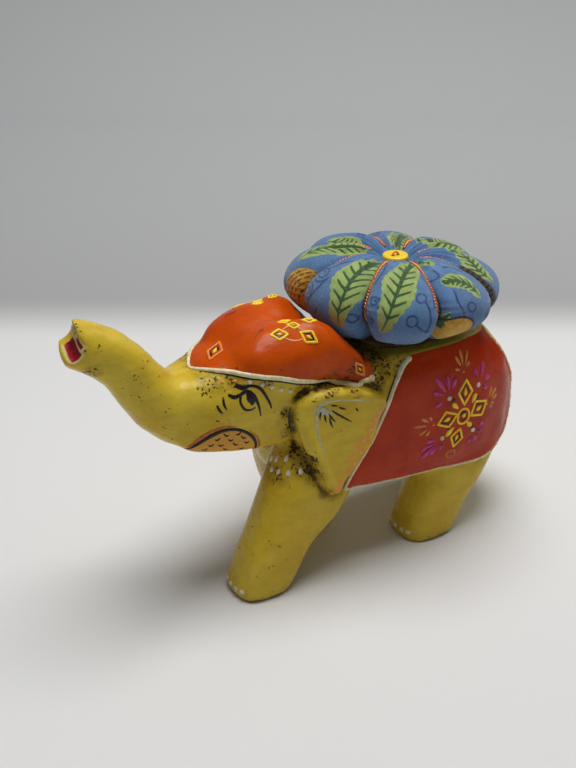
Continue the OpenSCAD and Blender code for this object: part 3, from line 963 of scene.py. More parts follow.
def make_blanket_edge(name, side):
    """The thick cream line round the blanket: broad in front, thin below, dotted behind."""
    paint = Paint(f"blanket_edge_{name}", ["cream", "tan", "black"])
    put = on_flank(side)
    front = [(28, 82.4), (24.5, 79.3), (21, 74), (17.5, 67), (13, 58), (7, 47), (2.5, 38.5), (1.6, 36.6)]
    below = [(1.6, 36.6), (14, 34.8), (30, 33.6), (48, 32.6), (62, 31.8), (69, 32.8)]
    behind = [(69, 32.8), (77, 38.5), (81.5, 47), (82, 56), (78.5, 66), (73, 75), (69, 80.5), (68, 82.4)]
    paint.stroke(even(put(spline(front, 10))), [1.9, 2.2, 1.7, 1.5, 1.4, 1.3, 1.3, 1.2], "cream", 0.8,
                 sunk=0.7)
    paint.dot(put([front[0]]), 1.25, "cream", 0.95)
    paint.stroke(even(put(spline([(u - 1.3, v - 0.3) for u, v in front[1:]], 8))), 0.55, "black", 0.15)
    paint.stroke(even(put(spline(below, 10))), [1.3, 1.0, 0.9, 0.9, 1.1], "cream", 0.5, sunk=0.6)
    paint.stroke(even(put(spline(behind, 8))), 1.7, "tan", 0.5, sunk=0.7)
    for u, v in spline(behind, 5)[2:-1:2]:
        paint.dot(put([(u, v)]), 0.8, "cream", 0.75)
    return paint.finish("cream_paste", [f"blanket_outline_{name}"])


def cap_line():
    """The cap's lower edge as places in space: up one side, over the forehead and down the other."""
    left = [(12.6, -23.5, 78.6), (8, -22.5, 77.2), (1.8, -20, 78.2), (-6, -19.6, 80.6), (-14.2, -20.9, 83.4),
            (-22, -21, 86.2), (-29, -18.6, 87.9), (-36, -13.2, 88.8), (-42, -8.2, 88.9), (-46, -3, 88.6)]
    return left + [(-47.2, 0, 88.8)] + [(x, -y, z) for x, y, z in reversed(left)]


def make_cap_edge():
    paint = Paint("cap_edge", ["cream", "black"])
    path = spline(cap_line(), 9)
    n = len(path)
    end = np.minimum(np.arange(n), np.arange(n)[::-1]) / (n / 2)
    width = np.interp(end, [0, 0.04, 0.3, 0.75, 1], [1.2, 2.3, 2.1, 1.7, 1.0])
    centre, normal = even(on_wood(path))
    paint.stroke((centre, normal), width, "cream", 0.75, sunk=0.8)
    below = centre - np.array([0, 0, 1.35])
    shown = slice(int(n * 0.03), int(n * 0.46))
    for part in (shown, slice(n - shown.stop, n - shown.start)):
        paint.stroke(even(on_wood(below[part])), [0.5, 0.9, 0.8, 0.6, 0.3], "black", 0.12)
    for k in (0, n - 1):
        paint.dot((centre[k:k + 1], normal[k:k + 1]), 1.25, "cream", 0.95)
    paint.finish("cream_paste", ["cap_outline"])


def make_forehead_dots():
    """White dots under the cap, and the necklace of dabs on the chest.

    The dabs' places were measured on the left. The right leg stands further back, so a few dabs
    there reach across a hollow and come out too long.
    """
    paint = Paint("forehead_beads", ["white", "tan"])
    for side in SIDES.values():
        put = on_flank(side)
        for x, z in ((-41.5, 86.6), (-37.5, 86.7)):
            paint.dot(put([(x, z)]), 0.6, "tan", 0.4)
        for x, z in ((-33, 86), (-29, 84.8), (-26, 83.6), (-22.8, 82.2), (-19.4, 80.8)):
            paint.dot(put([(x, z)]), 0.85, "white", 0.6)
        upper = [(-21.2, 7.4, 48.1), (-20.7, 10, 49.4), (-20.3, 12.8, 50.4), (-18.6, 16.4, 51.9)]
        lower = [(-21.8, 13, 46.4), (-21.5, 16.2, 47), (-19.6, 19.4, 47.6), (-16.1, 21.6, 48.6)]
        for row, length in ((upper, 3.4), (lower, 2.6)):
            for x, y, z in row:
                ends = [(x + 0.2, side * y, z + length * k) for k in (0.5, 0.25, 0, -0.25, -0.5)]
                paint.stroke(even(on_wood(ends)), [0.5, 1.3, 1.7, 1.6, 0.7], "white", 0.4)
    paint.finish("white_paste", ["forehead_dots"])


# Brow, upper lid, lower lid, pupil and two lashes: places on the flank, and widths of the stroke
EYE = [
    ([(-37.9, 85.6), (-35.6, 84.6), (-33, 84.8), (-30.3, 83.8), (-28.4, 81.2), (-26.8, 77.6), (-26.2, 75.4)],
     [1.5, 1.9, 1.0, 1.2, 1.1, 0.9, 0.5]),
    ([(-40.8, 83), (-39, 82), (-36.9, 82.5), (-34.6, 83.2), (-32.4, 81.4), (-31, 78), (-30.2, 73.4)],
     [0.9, 1.6, 1.2, 1.5, 1.5, 1.0, 0.4]),
    ([(-36.9, 82.2), (-37.2, 79.8), (-36, 77.3), (-34, 76.6), (-32.1, 77.2)], [0.9, 0.9, 0.9, 0.8, 0.4]),
    ([(-33.9, 82.9), (-33.4, 81), (-33.1, 79.4), (-33.4, 78.2)], [2.2, 3.4, 2.6, 0.6]),
    ([(-42.6, 81.9), (-42.7, 80), (-42, 78)], [0.7, 1.0, 0.4]),
    ([(-45, 80), (-44.5, 78.3), (-43.4, 76.9)], [0.7, 1.0, 0.4]),
]


def make_eyes():
    """The eye, painted in black on each side of the head."""
    paint = Paint("painted_eyes", ["black"])
    for side in SIDES.values():
        put = on_flank(side)
        for points, widths in EYE:
            line(paint, put, points, widths, "black")
    paint.finish("flower_paint")


def make_cheeks():
    """The striped arc and small ticks on each cheek, and the dark cracks by the ear."""
    paint = Paint("painted_cheeks", ["black", "rust"])
    ticks = [(-45.5, 67.4), (-42.6, 68.6), (-41, 66.4), (-38.4, 68.4), (-36.6, 66.6), (-44.4, 64.8),
             (-47.6, 65.2), (-39.4, 64.4), (-35.4, 64.4), (-49.4, 63.4), (-42.6, 62.8), (-37, 62)]
    for side in SIDES.values():
        put = on_flank(side)
        line(paint, put, [(-54.4, 64.6), (-51.6, 67.6), (-47.4, 70.6), (-43.4, 71.8), (-39.2, 71.4)],
             [0.4, 1.5, 1.5, 1.1, 0.4], "rust", 0.15)
        line(paint, put, [(-54.6, 63.4), (-51.2, 66.4), (-47, 69.3), (-43.2, 70.5), (-39.2, 70.2),
                          (-35.4, 68.2), (-32.8, 65.2), (-31.4, 61), (-31.2, 58)],
             [0.6, 1.3, 1.5, 1.3, 1.2, 1.1, 1.2, 1.0, 0.5], "black")
        line(paint, put, [(-34.6, 68.9), (-31.6, 65.6), (-30.2, 61), (-30, 57.6)],
             [0.3, 0.8, 0.9, 0.4], "rust", 0.15)
        for k, (x, z) in enumerate(ticks):
            turn = (-0.3, 0.5, 0.1)[k % 3]
            line(paint, put, [(x - 0.9, z + 0.3 + turn), (x, z - 0.3), (x + 0.9, z + 0.2 - turn)],
                 [0.3, 0.75, 0.35], "black", 0.15)
        line(paint, put, [(-18.9, 74), (-19.1, 70), (-18.5, 66), (-17.4, 61)],
             [0.3, 0.9, 0.6, 0.3], "black", 0.1)
    paint.finish("flower_paint")


def make_ears():
    """The pale line and the brush marks inside each ear."""
    paint = Paint("painted_ears", ["grey", "black", "pink"])
    for side in SIDES.values():
        put = on_flank(side)
        line(paint, put, [(-8.6, 54), (-10.2, 60), (-11.2, 67), (-10.6, 73), (-8, 75), (-2.6, 75.2), (4, 74),
                          (9.4, 72.2)], [0.4, 0.7, 1.0, 1.6, 1.8, 0.9, 0.7, 0.4], "grey", 0.18)
        line(paint, put, [(-9.8, 73.2), (-8, 71.4), (-5.6, 70.2)], [2.2, 2.8, 0.8], "grey", 0.15)
        for a, b in (((-8.2, 70.8), (-7.8, 67.6)), ((-7, 71.2), (-4.6, 67.2)), ((-5.6, 71.6), (-1, 68)),
                     ((-4.8, 71), (1.4, 66.2)), ((-9.4, 72), (-10, 68.8)), ((-5.8, 73.6), (-3.4, 73)),
                     ((-3, 72.4), (-0.4, 71.2)), ((3.4, 71), (4.2, 69.6)), ((-6.6, 69), (-5.4, 65))):
            middle = ((a[0] + b[0]) / 2 - 0.2, (a[1] + b[1]) / 2)
            line(paint, put, [a, middle, b], [0.5, 0.8, 0.3], "black", 0.15)
        for x, z in ((11.6, 68.6), (11, 64.8), (9, 61), (6.6, 57.4), (5, 53), (2.6, 49), (0.4, 45),
                     (-1.6, 41.6)):
            line(paint, put, [(x - 0.5, z - 0.3), (x, z + 0.2), (x + 0.4, z + 0.6)],
                 [0.3, 0.8, 0.3], "pink", 0.12)
    paint.finish("flower_paint")


def make_cap_motifs():
    """Yellow diamonds joined by pale arcs on each lobe of the cap, and thinner ones at its ends."""
    paint = Paint("painted_cap", ["yellow", "black", "pink", "orange"])
    for side in SIDES.values():
        put = on_cap((-15.5, 15.6, 99.5), side)
        for centre, length, width, turn in (((-4.6, 1.2), 6.2, 4.6, 160), ((5.4, -2.6), 6.6, 4.8, -50),
                                            ((2.2, 3.4), 4.4, 3.2, 150), ((0.4, 7.6), 4.8, 3.2, 175),
                                            ((8.4, 3.4), 5, 3, 150)):
            jewel(paint, put, centre, length, width, turn)
        line(paint, put, [(-2.4, 2.6), (-0.6, 3.4), (0.6, 3.6)], [0.3, 0.7, 0.3], "pink", 0.25)
        line(paint, put, [(3.2, 2), (4, 0.8), (4.8, 0)], [0.3, 0.6, 0.3], "pink", 0.25)
        line(paint, put, [(-3.4, -0.8), (-1.6, -2.2), (0.8, -2.9), (3, -2.6)],
             [0.3, 0.8, 0.6, 0.3], "pink", 0.25)
        line(paint, put, [(-14, 5), (-11, 7.4), (-8, 8.6)], [0.2, 0.4, 0.2], "black", 0.08)
        line(paint, put, [(-10, 7.6), (-9, 6.6)], [0.4, 0.3], "black", 0.08)
        rear = on_cap((8, 21, 82.5), side)
        jewel(paint, rear, (0, 0), 6, 3.4, 120, "orange")
    front = on_cap((-37.6, 0.8, 92.2), LEFT)
    jewel(paint, front, (0, 0), 9.4, 5.6, 38, "orange")
    paint.finish("flower_paint")


def make_toenails():
    """Four white dabs on the front of each foot."""
    paint = Paint("painted_toenails", ["white"])
    for x, side in ((-41, LEFT), (33.2, LEFT), (-7, RIGHT), (67, RIGHT)):
        for k in (-1.5, -0.5, 0.5, 1.5):
            y = side * FOOT_Y + NAIL_STEP * k
            centre, _ = on_wood([(x - 1, y, 2.9 + 0.5 * abs(k)), (x - 1, y, 4.8 + 0.5 * abs(k))])
            steps = np.linspace(0, 1, 6)[:, None]
            places = on_wood(centre[0] + steps * (centre[1] - centre[0]))
            paint.stroke(even(places), [1.5, 2.2, 2.2, 1.2], "white", 0.35)
    paint.finish("white_paste", ["toenails"])


# The cushion --------------------------------------------------------------------------------

SEGMENTS = 8
STEP = math.tau / SEGMENTS
FIRST_CORD = math.radians(-98.5)
CUSHION_R = 40.0
CUSHION_H = 32.5
TOP_Z = BASE_Z + CUSHION_H
WAIST_Z = BASE_Z + CUSHION_H / 2
DIMPLE = 6.5
GROOVE = 5.0
LEAN = 3.0
# How much further each segment swells than its outline
FULLER = (0.3, 1.0, 2.0, 0.9, -0.2, 0.4, -0.3, 0.2)
ROWS, PER_SEGMENT = 190, 60
# Columns per segment on the coarse cloth that is blown up, and on the filling
COARSE = 12
# Elevations in degrees between which the cords run, and how far inside the cover the filling stays
CORD_ENDS = (-82, 62)
FILLING_GAP = 1.6
# The cloth starts this far inside its outline, and is blown up this many times larger than life
CLOTH_INSET = 1.3
CLOTH_SCALE = 8
LAST_FRAME = 20
# Least distance between the cloth and the wood of the cap
CLOTH_GAP = 0.45
# Width of one segment's cloth, which keeps the weave running from one segment to the next
SEGMENT_WIDTH = 31.4


def outline_r(e):
    return CUSHION_R * np.cos(e) ** np.where(e > 0, 0.72, 0.8)


def outline_z(e):
    s = np.abs(np.sin(e))
    above = WAIST_Z + (TOP_Z - WAIST_Z) * s**0.92 - DIMPLE * np.exp(-((outline_r(e) / 9.5) ** 2))
    below = WAIST_Z - (WAIST_Z - BASE_Z) * np.minimum(1, 1.03 * s**1.1)
    return np.where(e > 0, above, below)


def segment_of(a):
    """Number of the segment at angle a, and how far across it a lies, from -1 to 1."""
    turn = (FIRST_CORD - a) / STEP
    k = np.floor(turn + 1e-9)
    return k.astype(int) % SEGMENTS, 1 - 2 * (turn - k)


def cushion_surface(e, a, inset=0.0):
    """The cover's surface: e climbs from -90 to 90 degrees, a goes round."""
    _, across = segment_of(a)
    swell = np.sqrt(1 - 0.96 * across**2)
    pull = GROOVE * np.cos(0.93 * e) ** 0.6
    r = outline_r(e) - inset * np.cos(e) - (1 - swell) * pull * (0.35 + 0.65 * np.cos(e))
    r = np.maximum(0.4, r)
    z = outline_z(e) - inset * np.sin(e) - np.where(e > 0, (1 - swell) * pull * np.sin(e), 0)
    tip = -LEAN * (z - BASE_Z) / CUSHION_H * r * np.cos(a) / CUSHION_R
    return np.stack([AXIS_X + r * np.cos(a), r * np.sin(a), z + tip], -1)


def ring_grid(rows, sides):
    """Elevations from top to bottom, angles round, and the faces between them, with both ends closed."""
    e = np.radians(np.linspace(89, -89, rows))
    a = FIRST_CORD - math.tau * np.arange(sides) / sides
    return e, a, tube_faces(rows, sides)


def puff(rows, sides):
    """How far each point of a coarse cover moves when it is blown up as cloth, held at the cords."""
    e, a, faces = ring_grid(rows, sides)
    start = cushion_surface(e[:, None], a[None], CLOTH_INSET)
    mesh = new_mesh("cloth_source", start.reshape(-1, 3) * CLOTH_SCALE, faces)
    source = new_object("cloth_source", mesh)
    held = source.vertex_groups.new(name="held")
    per_segment = sides // SEGMENTS
    for i in range(rows):
        for j in range(sides):
            if j % per_segment == 0 or i < 3 or i > rows - 6:
                held.add([i * sides + j], 1.0, "REPLACE")
    cloth = source.modifiers.new("cloth", "CLOTH")
    cloth.settings.use_pressure = True
    cloth.settings.uniform_pressure_force = 4
    cloth.settings.effector_weights.gravity = 0
    cloth.settings.vertex_group_mass = "held"
    cloth.settings.quality = 8
    cloth.settings.tension_stiffness = 12
    cloth.settings.bending_stiffness = 0.4
    cloth.collision_settings.use_collision = False
    cloth.point_cache.frame_start, cloth.point_cache.frame_end = 1, LAST_FRAME
    scene = bpy.context.scene
    for f in range(1, LAST_FRAME + 1):
        scene.frame_set(f)
    depsgraph = bpy.context.evaluated_depsgraph_get()
    settled = points_of(source.evaluated_get(depsgraph).to_mesh()).reshape(rows, sides, 3) / CLOTH_SCALE
    bpy.data.objects.remove(source)
    scene.frame_set(1)
    return settled - start


def resample(grid, rows, sides):
    """A coarse grid of vectors, smoothly enlarged. Its columns go round."""
    def axis_points(values, count, closed):
        n = len(values)
        place = np.arange(count) * (n / count if closed else (n - 1) / (count - 1))
        i = np.minimum(place.astype(int), n - 1 if closed else n - 2)
        t = (place - i).reshape(-1, *[1] * (values.ndim - 1))

        def at(k):
            return values[(i + k) % n] if closed else values[np.clip(i + k, 0, n - 1)]
        p0, p1, p2, p3 = at(-1), at(0), at(1), at(2)
        return (p1 + t * (p2 - p0) / 2 + t**2 * (2 * p0 - 5 * p1 + 4 * p2 - p3) / 2
                + t**3 * (3 * p1 - p0 - 3 * p2 + p3) / 2)
    tall = axis_points(grid, rows, False)
    return axis_points(tall.swapaxes(0, 1), sides, True).swapaxes(0, 1)


def cushion_shape(rows, sides, detail=1.0):
    """The finished cover: the outline, the blown-up cloth, and the creases that the cords make.

    detail scales the creases, for the plainer filling.
    """
    e, a, faces = ring_grid(rows, sides)
    p = cushion_surface(e[:, None], a[None], CLOTH_INSET)
    move = resample(PUFF, rows, sides)
    length = np.linalg.norm(move, axis=-1, keepdims=True)
    p = p + move * np.minimum(1, 2.4 / (length + 1e-9))
    segment, across = segment_of(a)
    out = unit(np.stack([np.cos(a), np.sin(a), np.zeros_like(a)], -1))[None]
    r = np.hypot(p[..., 0] - AXIS_X, p[..., 1])
    from_cord = (1 - np.abs(across))[None] * STEP / 2 * r
    down = np.linspace(0, 1, rows)[:, None]
    side = np.sign(across)[None]
    tight = ease(down, 0.1, 0.45) * ease(1 - down, 0.05, 0.3)
    deep = ease(down, 0.42, 0.7) * ease(1 - down, 0.04, 0.2)
    crease = -2.2 * np.exp(-((from_cord / 1.5) ** 2)) * tight - 4.0 * np.exp(-((from_cord / 2.1) ** 2)) * deep
    phase = segment * 1.7 + side * 0.9
    pucker = 0.34 * np.exp(-from_cord / 3.2) * (1 - np.exp(-from_cord / 0.7)) * tight
    pucker = pucker * np.sin(down * 92 + phase + 3 * np.sin(down * 17 + phase))
    tucks = ease(down, 0.72, 0.92) * (0.55 * np.sin(a * 40 + 2 * np.sin(a * 9))[None]
                                      + 0.35 * np.sin(a * 23 + 1)[None]) * ease(r, 14, 24)
    gather = 0.5 * ease(0.22 - down, 0, 0.12) * np.sin(a * 32 + np.sin(a * 7))[None] * ease(r, 3, 8)
    fuller = np.array(FULLER)[segment][None]
    uneven = fuller * np.sin(np.pi * down) ** 2 * np.cos(across * np.pi / 2)[None]
    sag = 0.5 * np.sin(across * 4 + segment * 1.3)[None] * np.sin(down * 9 + segment[None] * 0.8) * tight
    total = (crease + pucker + tucks + gather + uneven + sag * np.cos(across * np.pi / 2)[None]) * detail
    z_share = np.sin(e)[:, None, None] * 0.7
    direction = unit(out * np.cos(e)[:, None, None] + np.array([0, 0, 1.0]) * z_share)
    return p + total[..., None] * direction, faces, e, a


def clear_of_wood(p):
    """Moves cloth off the wood, so that it clears the cap and stays above the seat."""
    flat = p.reshape(-1, 3).copy()
    flat[:, 2] = np.maximum(flat[:, 2], BASE_Z)
    close = np.where((flat[:, 2] < 102) & (flat[:, 0] < 22))[0]
    for i in close:
        point, normal, _, _ = WOOD.find_nearest(Vector(flat[i]), 4.0)
        if point is None:
            continue
        height = (Vector(flat[i]) - point).dot(normal)
        if height < CLOTH_GAP:
            flat[i] += np.array(normal) * (CLOTH_GAP - height)
    flat[:, 2] = np.maximum(flat[:, 2], BASE_Z)
    return flat.reshape(p.shape)


class Print:
    """The printed pattern, as signed distances in millimetres on the cloth."""

    def __init__(self, segment, across, down):
        self.segment = segment
        self.place = np.column_stack([across, down])
        self.ink = {name: np.full(len(across), -5.0)
                    for name in ("curls", "leaves", "veins", "gold", "bark", "hatch")}
        self.ink["autumn"] = np.zeros(len(across))

    def on(self, segment):
        return np.where(self.segment == segment)[0]

    def add(self, name, rows, distance):
        self.ink[name][rows] = np.maximum(self.ink[name][rows], distance)

    def leaf(self, segment, spine, width, autumn=1.2, ribs=7):
        """A serrated leaf along its spine, base first: pale blade, dark midrib and slanting side ribs."""
        rows = self.on(segment)
        spine = spline(spine, 6)
        length = np.linalg.norm(np.diff(spine, axis=0), axis=1).sum()
        gap, t, side = line_distance(self.place[rows], spine)
        half = width / 2 * np.sin(np.pi * np.clip(t, 0, 1) ** 0.85) ** 0.75
        teeth = 0.55 * np.abs(np.sin(t * length * 0.95)) + 0.5 * np.sin(t * length * 0.4 + side)
        teeth = teeth * (half > 0.6)
        ends = np.minimum(t, 1 - t) * length
        blade = np.where(ends > 0.02, half + teeth - gap, -gap)
        self.add("leaves", rows, blade)
        self.ink["autumn"][rows] = np.where(blade > -0.5, np.maximum(self.ink["autumn"][rows],
                                            ease(t, autumn - 0.35, autumn)), self.ink["autumn"][rows])
        self.add("veins", rows, np.minimum(0.9 * (1.25 - t) - gap, ends - 0.6))
        for k in range(ribs):
            root = (0.16 + 0.78 * k / ribs) * length
            slant = t * length - root + gap * 0.9
            rib = 0.62 * (1 - 0.5 * gap / np.maximum(half, 0.5)) - np.abs(slant) / 1.28
            self.add("veins", rows, np.minimum(rib, half * 0.8 - gap))

    def stem(self, segment, points, width=0.42):
        rows = self.on(segment)
        self.add("curls", rows, width - line_distance(self.place[rows], spline(points, 6))[0])

    def spiral(self, segment, centre, radius, turns=1.6, start=0.0, hand=1):
        angles = np.linspace(0, turns * math.tau, int(26 * turns))
        reach = radius * (1 - 0.8 * angles / angles[-1])
        line = np.column_stack([centre[0] + reach * np.cos(start + hand * angles),
                                centre[1] + reach * np.sin(start + hand * angles)])
        rows = self.on(segment)
        self.add("curls", rows, 0.42 - line_distance(self.place[rows], line)[0])

    def ring(self, segment, centre, radius):
        rows = self.on(segment)
        away = np.linalg.norm(self.place[rows] - centre, axis=1)
        self.add("curls", rows, 0.38 - np.abs(away - radius))

    def fruit(self, segment, centre, radius):
        """A golden round with a dark outline."""
        rows = self.on(segment)
        away = np.linalg.norm(self.place[rows] - centre, axis=1)
        self.add("gold", rows, radius - away)
        self.add("hatch", rows, 0.45 - np.abs(away - radius))

    def patch(self, name, segment, outline):
        rows = self.on(segment)
        place = self.place[rows]
        distance = within(place, outline)
        self.add(name, rows, distance)
        return rows, place, distance

    def basket(self, segment, outline):
        """A gold patch with dark ticks."""
        rows, place, patch = self.patch("gold", segment, outline)
        row = np.floor(place[:, 1] / 2.2)
        u = (place[:, 0] + row * 0.9) % 1.8 - 0.9
        v = place[:, 1] % 2.2 - 1.1
        tick = 0.28 - np.abs(u + v * 0.3) + np.minimum(0, 0.75 - np.abs(v))
        self.add("hatch", rows, np.minimum(tick, patch))

    def bark_strip(self, segment, outline):
        """A brown strip with dark bars."""
        rows, place, patch = self.patch("bark", segment, outline)
        bars = 0.5 - np.abs((place[:, 1] + 0.35 * place[:, 0]) % 2.4 - 1.2)
        self.add("hatch", rows, np.minimum(bars, patch))


def print_cotton(segment, across, down):
    cloth = Print(segment, across, down)
    # In front, between the two near cords
    cloth.leaf(0, [(5.5, 14), (1.5, 23), (-1.8, 33), (-4.6, 41), (-8, 50)], 11.5, 1.05)
    cloth.ring(0, (6.4, 36), 1.9)
    cloth.stem(0, [(8, 37.5), (9.6, 41), (10, 46), (8.4, 50)])
    cloth.ring(0, (3, 44.6), 2)
    cloth.stem(0, [(4.6, 45.8), (7, 48.6), (9.4, 49.6)])
    cloth.stem(0, [(-4.6, 16), (-6, 21), (-8.6, 27), (-11, 31)])
    cloth.spiral(0, (-10.6, 38.5), 2.6, 1.4, 1, -1)
    cloth.stem(0, [(7.6, 24), (10, 29), (11.4, 34), (11.8, 40)])
    cloth.spiral(0, (-12.4, 46), 2.2, 1.5, 2)
    # Left of it
    cloth.leaf(1, [(5.6, 14.5), (5.4, 24), (6.4, 32), (7.6, 40), (7.4, 51)], 12.5, 1.0)
    cloth.spiral(1, (-6.4, 33), 4.2, 1.9, 0.5)
    cloth.spiral(1, (-9, 41), 3.6, 1.8, 2.4, -1)
    cloth.stem(1, [(-1, 21), (-3, 25), (-5, 29), (-9.6, 32)])
    cloth.stem(1, [(-2.2, 34), (-3.4, 38), (-6, 43), (-8.6, 48)])
    cloth.stem(1, [(-6.6, 24), (-8, 28), (-10.4, 31)])
    cloth.ring(1, (12.2, 46.4), 1.7)
    cloth.stem(1, [(-2, 46), (-5, 51), (-9.6, 52)])
    # Far left, behind: a long leaf over the shoulder and a gold patch at the edge
    cloth.leaf(2, [(0, 9), (1.4, 18), (0.6, 27), (3, 36)], 11, 1.3)
    cloth.basket(2, [(6, 42), (9, 36), (13, 34.5), (17, 40), (16, 52), (7, 54)])
    cloth.spiral(2, (-8, 38), 3.4, 1.7, 1)
    cloth.stem(2, [(-3, 44), (-7, 47), (-10, 52)])
    # At the back
    cloth.leaf(3, [(5, 12), (7.6, 20), (8, 29)], 8, 1.3, 6)
    cloth.spiral(3, (-4, 19), 3, 1.7, 0, -1)
    cloth.spiral(3, (-2, 34), 4, 1.9, 2)
    cloth.stem(3, [(0, 24), (-3, 27), (-5, 31)])
    cloth.leaf(3, [(7, 46), (2, 42), (-4, 43)], 7, 1.3, 5)
    cloth.leaf(4, [(-1.2, 6.5), (-3, 14), (-7.6, 24)], 8.5, 1.3, 6)
    cloth.spiral(4, (5, 22), 3.4, 1.8, 1)
    cloth.leaf(4, [(8, 28), (4, 36), (-3, 43), (-6, 51)], 11, 1.05)
    cloth.stem(4, [(-10, 30), (-8, 36), (-9.6, 44)])
    cloth.leaf(5, [(3, 14), (-3.5, 20), (-6, 30), (-5, 38)], 9.5, 1.3)
    cloth.spiral(5, (7, 28), 3.6, 1.7, 2, -1)
    cloth.fruit(5, (4, 47), 6.5)
    cloth.stem(5, [(3, 33), (7, 36), (9, 42)])
    # Right
    cloth.leaf(6, [(6, 20), (-2, 26), (-8, 32), (-9, 40)], 8.5, 1.3)
    cloth.bark_strip(6, [(-8, 24), (-11.5, 28), (-15, 38), (-15, 50), (-10.6, 48), (-11.6, 38), (-9.6, 30)])
    cloth.spiral(6, (5, 36), 3.8, 1.8, 0)
    cloth.leaf(6, [(8, 44), (2, 47), (-5, 52)], 7, 1.1, 5)
    # Right of the front
    cloth.leaf(7, [(-8.6, 29.5), (-3.6, 30), (0.4, 33.5), (2.6, 40)], 7.4, 1.3, 6)
    cloth.leaf(7, [(-3.6, 13), (-3, 16), (-4, 19)], 4.4, 1.3, 3)
    cloth.fruit(7, (-9.4, 54), 9)
    cloth.leaf(7, [(-13.6, 53), (-14.4, 47), (-12.4, 42.5)], 3.2, 1.3, 3)
    cloth.stem(7, [(-5.4, 22), (-6.6, 26), (-11, 27)])
    cloth.stem(7, [(-1, 22), (2.6, 23.4), (5, 27)])
    cloth.ring(7, (-3.6, 42), 1.8)
    cloth.stem(7, [(-7, 34), (-8.4, 39), (-7.4, 44)])
    cloth.spiral(7, (6.4, 47), 2.6, 1.6, 1)
    cloth.bark_strip(7, [(10.4, 26), (15, 32), (15, 46), (12.5, 46), (11, 36)])
    return cloth.ink


def make_cushion():
    sides = SEGMENTS * PER_SEGMENT
    p, faces, e, a = cushion_shape(ROWS, sides)
    p = clear_of_wood(p)
    mesh = new_mesh("cushion_cover", p.reshape(-1, 3), faces)
    edges = edges_of(mesh)
    flat = p.reshape(-1, 3)
    normals = normals_of(mesh, flat)
    segment, across = segment_of(a)
    segment_all = np.tile(segment, ROWS)
    middle = cushion_surface(e, np.full_like(e, FIRST_CORD + STEP / 2))
    down = np.concatenate([[0], np.cumsum(np.linalg.norm(np.diff(middle, axis=0), axis=1))])
    width = STEP / 2 * outline_r(e)
    across_mm = (across[None] * width[:, None]).ravel()
    down_mm = np.repeat(down, sides)
    for name, values in print_cotton(segment_all, across_mm, down_mm).items():
        store(mesh, name, values)
    store(mesh, "purple", (ease(down[:, None], 36, 50) * ease(-across[None], -0.2, 0.9)).ravel())
    # Painted shade: how deep each place lies in a crease, plus more along the lower part of each cord; the
    # cloth's colour darkens by it.
    crease_shade_depth = ((blur(flat, edges, 24) - flat) * normals).sum(1)
    from_cord = (1 - np.abs(np.tile(across, ROWS))) * np.repeat(width, sides)
    store(mesh, "hollow", crease_shade_depth + 1.2 * np.exp(-(from_cord ** 2)) * ease(down_mm, 24, 40))
    weave = mesh.attributes.new("weave", "FLOAT_VECTOR", "POINT")
    coords = np.column_stack([across_mm + segment_all * SEGMENT_WIDTH, down_mm, np.zeros(len(flat))])
    weave.data.foreach_set("vector", coords.astype(np.float32).ravel())
    cover = place_piece("cushion_cover_cloth", mesh, printed_cotton(), "cushion",
                        ["cushion_cover"])

    inner, inner_faces, _, _ = cushion_shape(60, SEGMENTS * COARSE, detail=0.9)
    inner_mesh = new_mesh("cushion_filling", inner.reshape(-1, 3), inner_faces)
    shrink = normals_of(inner_mesh, inner.reshape(-1, 3))
    normals_of(inner_mesh, inner.reshape(-1, 3) - FILLING_GAP * shrink)
    filling = place_piece("cushion_wadding", inner_mesh, cotton_wadding(), "cushion",
                          ["cushion_filling"])

    cord_material = metallic_cord()
    for k in range(SEGMENTS):
        column = p[:, k * PER_SEGMENT]
        normal = normals.reshape(ROWS, sides, 3)[:, k * PER_SEGMENT]
        start, stop = np.searchsorted(-np.degrees(e), CORD_ENDS)
        make_cord(k, column[start:stop], normal[start:stop], cord_material)


def make_cord(k, path, normal, material):
    """A cord of two twisted strands, laid in the valley between two segments."""
    cord_r, strand_r, lift = 0.36, 0.34, 0.35
    pitch, per_turn, sides = 2.3, 12, 7
    path = blur_line(path, 6)
    normal = unit(blur_line(normal, 12))
    path = path + normal * lift
    along = np.concatenate([[0], np.cumsum(np.linalg.norm(np.diff(path, axis=0), axis=1))])
    samples = np.linspace(0, along[-1], int(along[-1] / pitch * per_turn))

    def at(values):
        return np.column_stack([np.interp(samples, along, values[:, i]) for i in range(3)])
    centre, up = at(path), unit(at(normal))
    side = unit(np.cross(unit(np.gradient(centre, axis=0)), up))
    up = np.cross(side, unit(np.gradient(centre, axis=0)))
    points, faces = [], []
    for strand in (0, math.pi):
        turn = (samples / pitch * math.tau + strand)[:, None]
        line = centre + cord_r * (np.cos(turn) * side + np.sin(turn) * up)
        tangent = unit(np.gradient(line, axis=0))
        u = unit(np.cross(tangent, up))
        v = np.cross(tangent, u)
        base = len(points) * len(samples) * sides
        turns = [math.tau * m / sides for m in range(sides)]
        rings = [line + strand_r * (math.cos(t) * u + math.sin(t) * v) for t in turns]
        points.append(np.stack(rings, 1).reshape(-1, 3))
        faces += tube_faces(len(samples), sides, base)
    name = f"metallic_cord_{k + 1}"
    place_piece(name, new_mesh(name, np.vstack(points), faces), material, "cushion",
                [f"segment_cord_{k + 1}"])


def blur_line(values, rounds):
    values = values.copy()
    for _ in range(rounds):
        values[1:-1] = (values[:-2] + 2 * values[1:-1] + values[2:]) / 4
    return values


# Radius of a button hole, and how far from the button's middle it lies
HOLE_R, HOLE_X = 0.7, 1.2


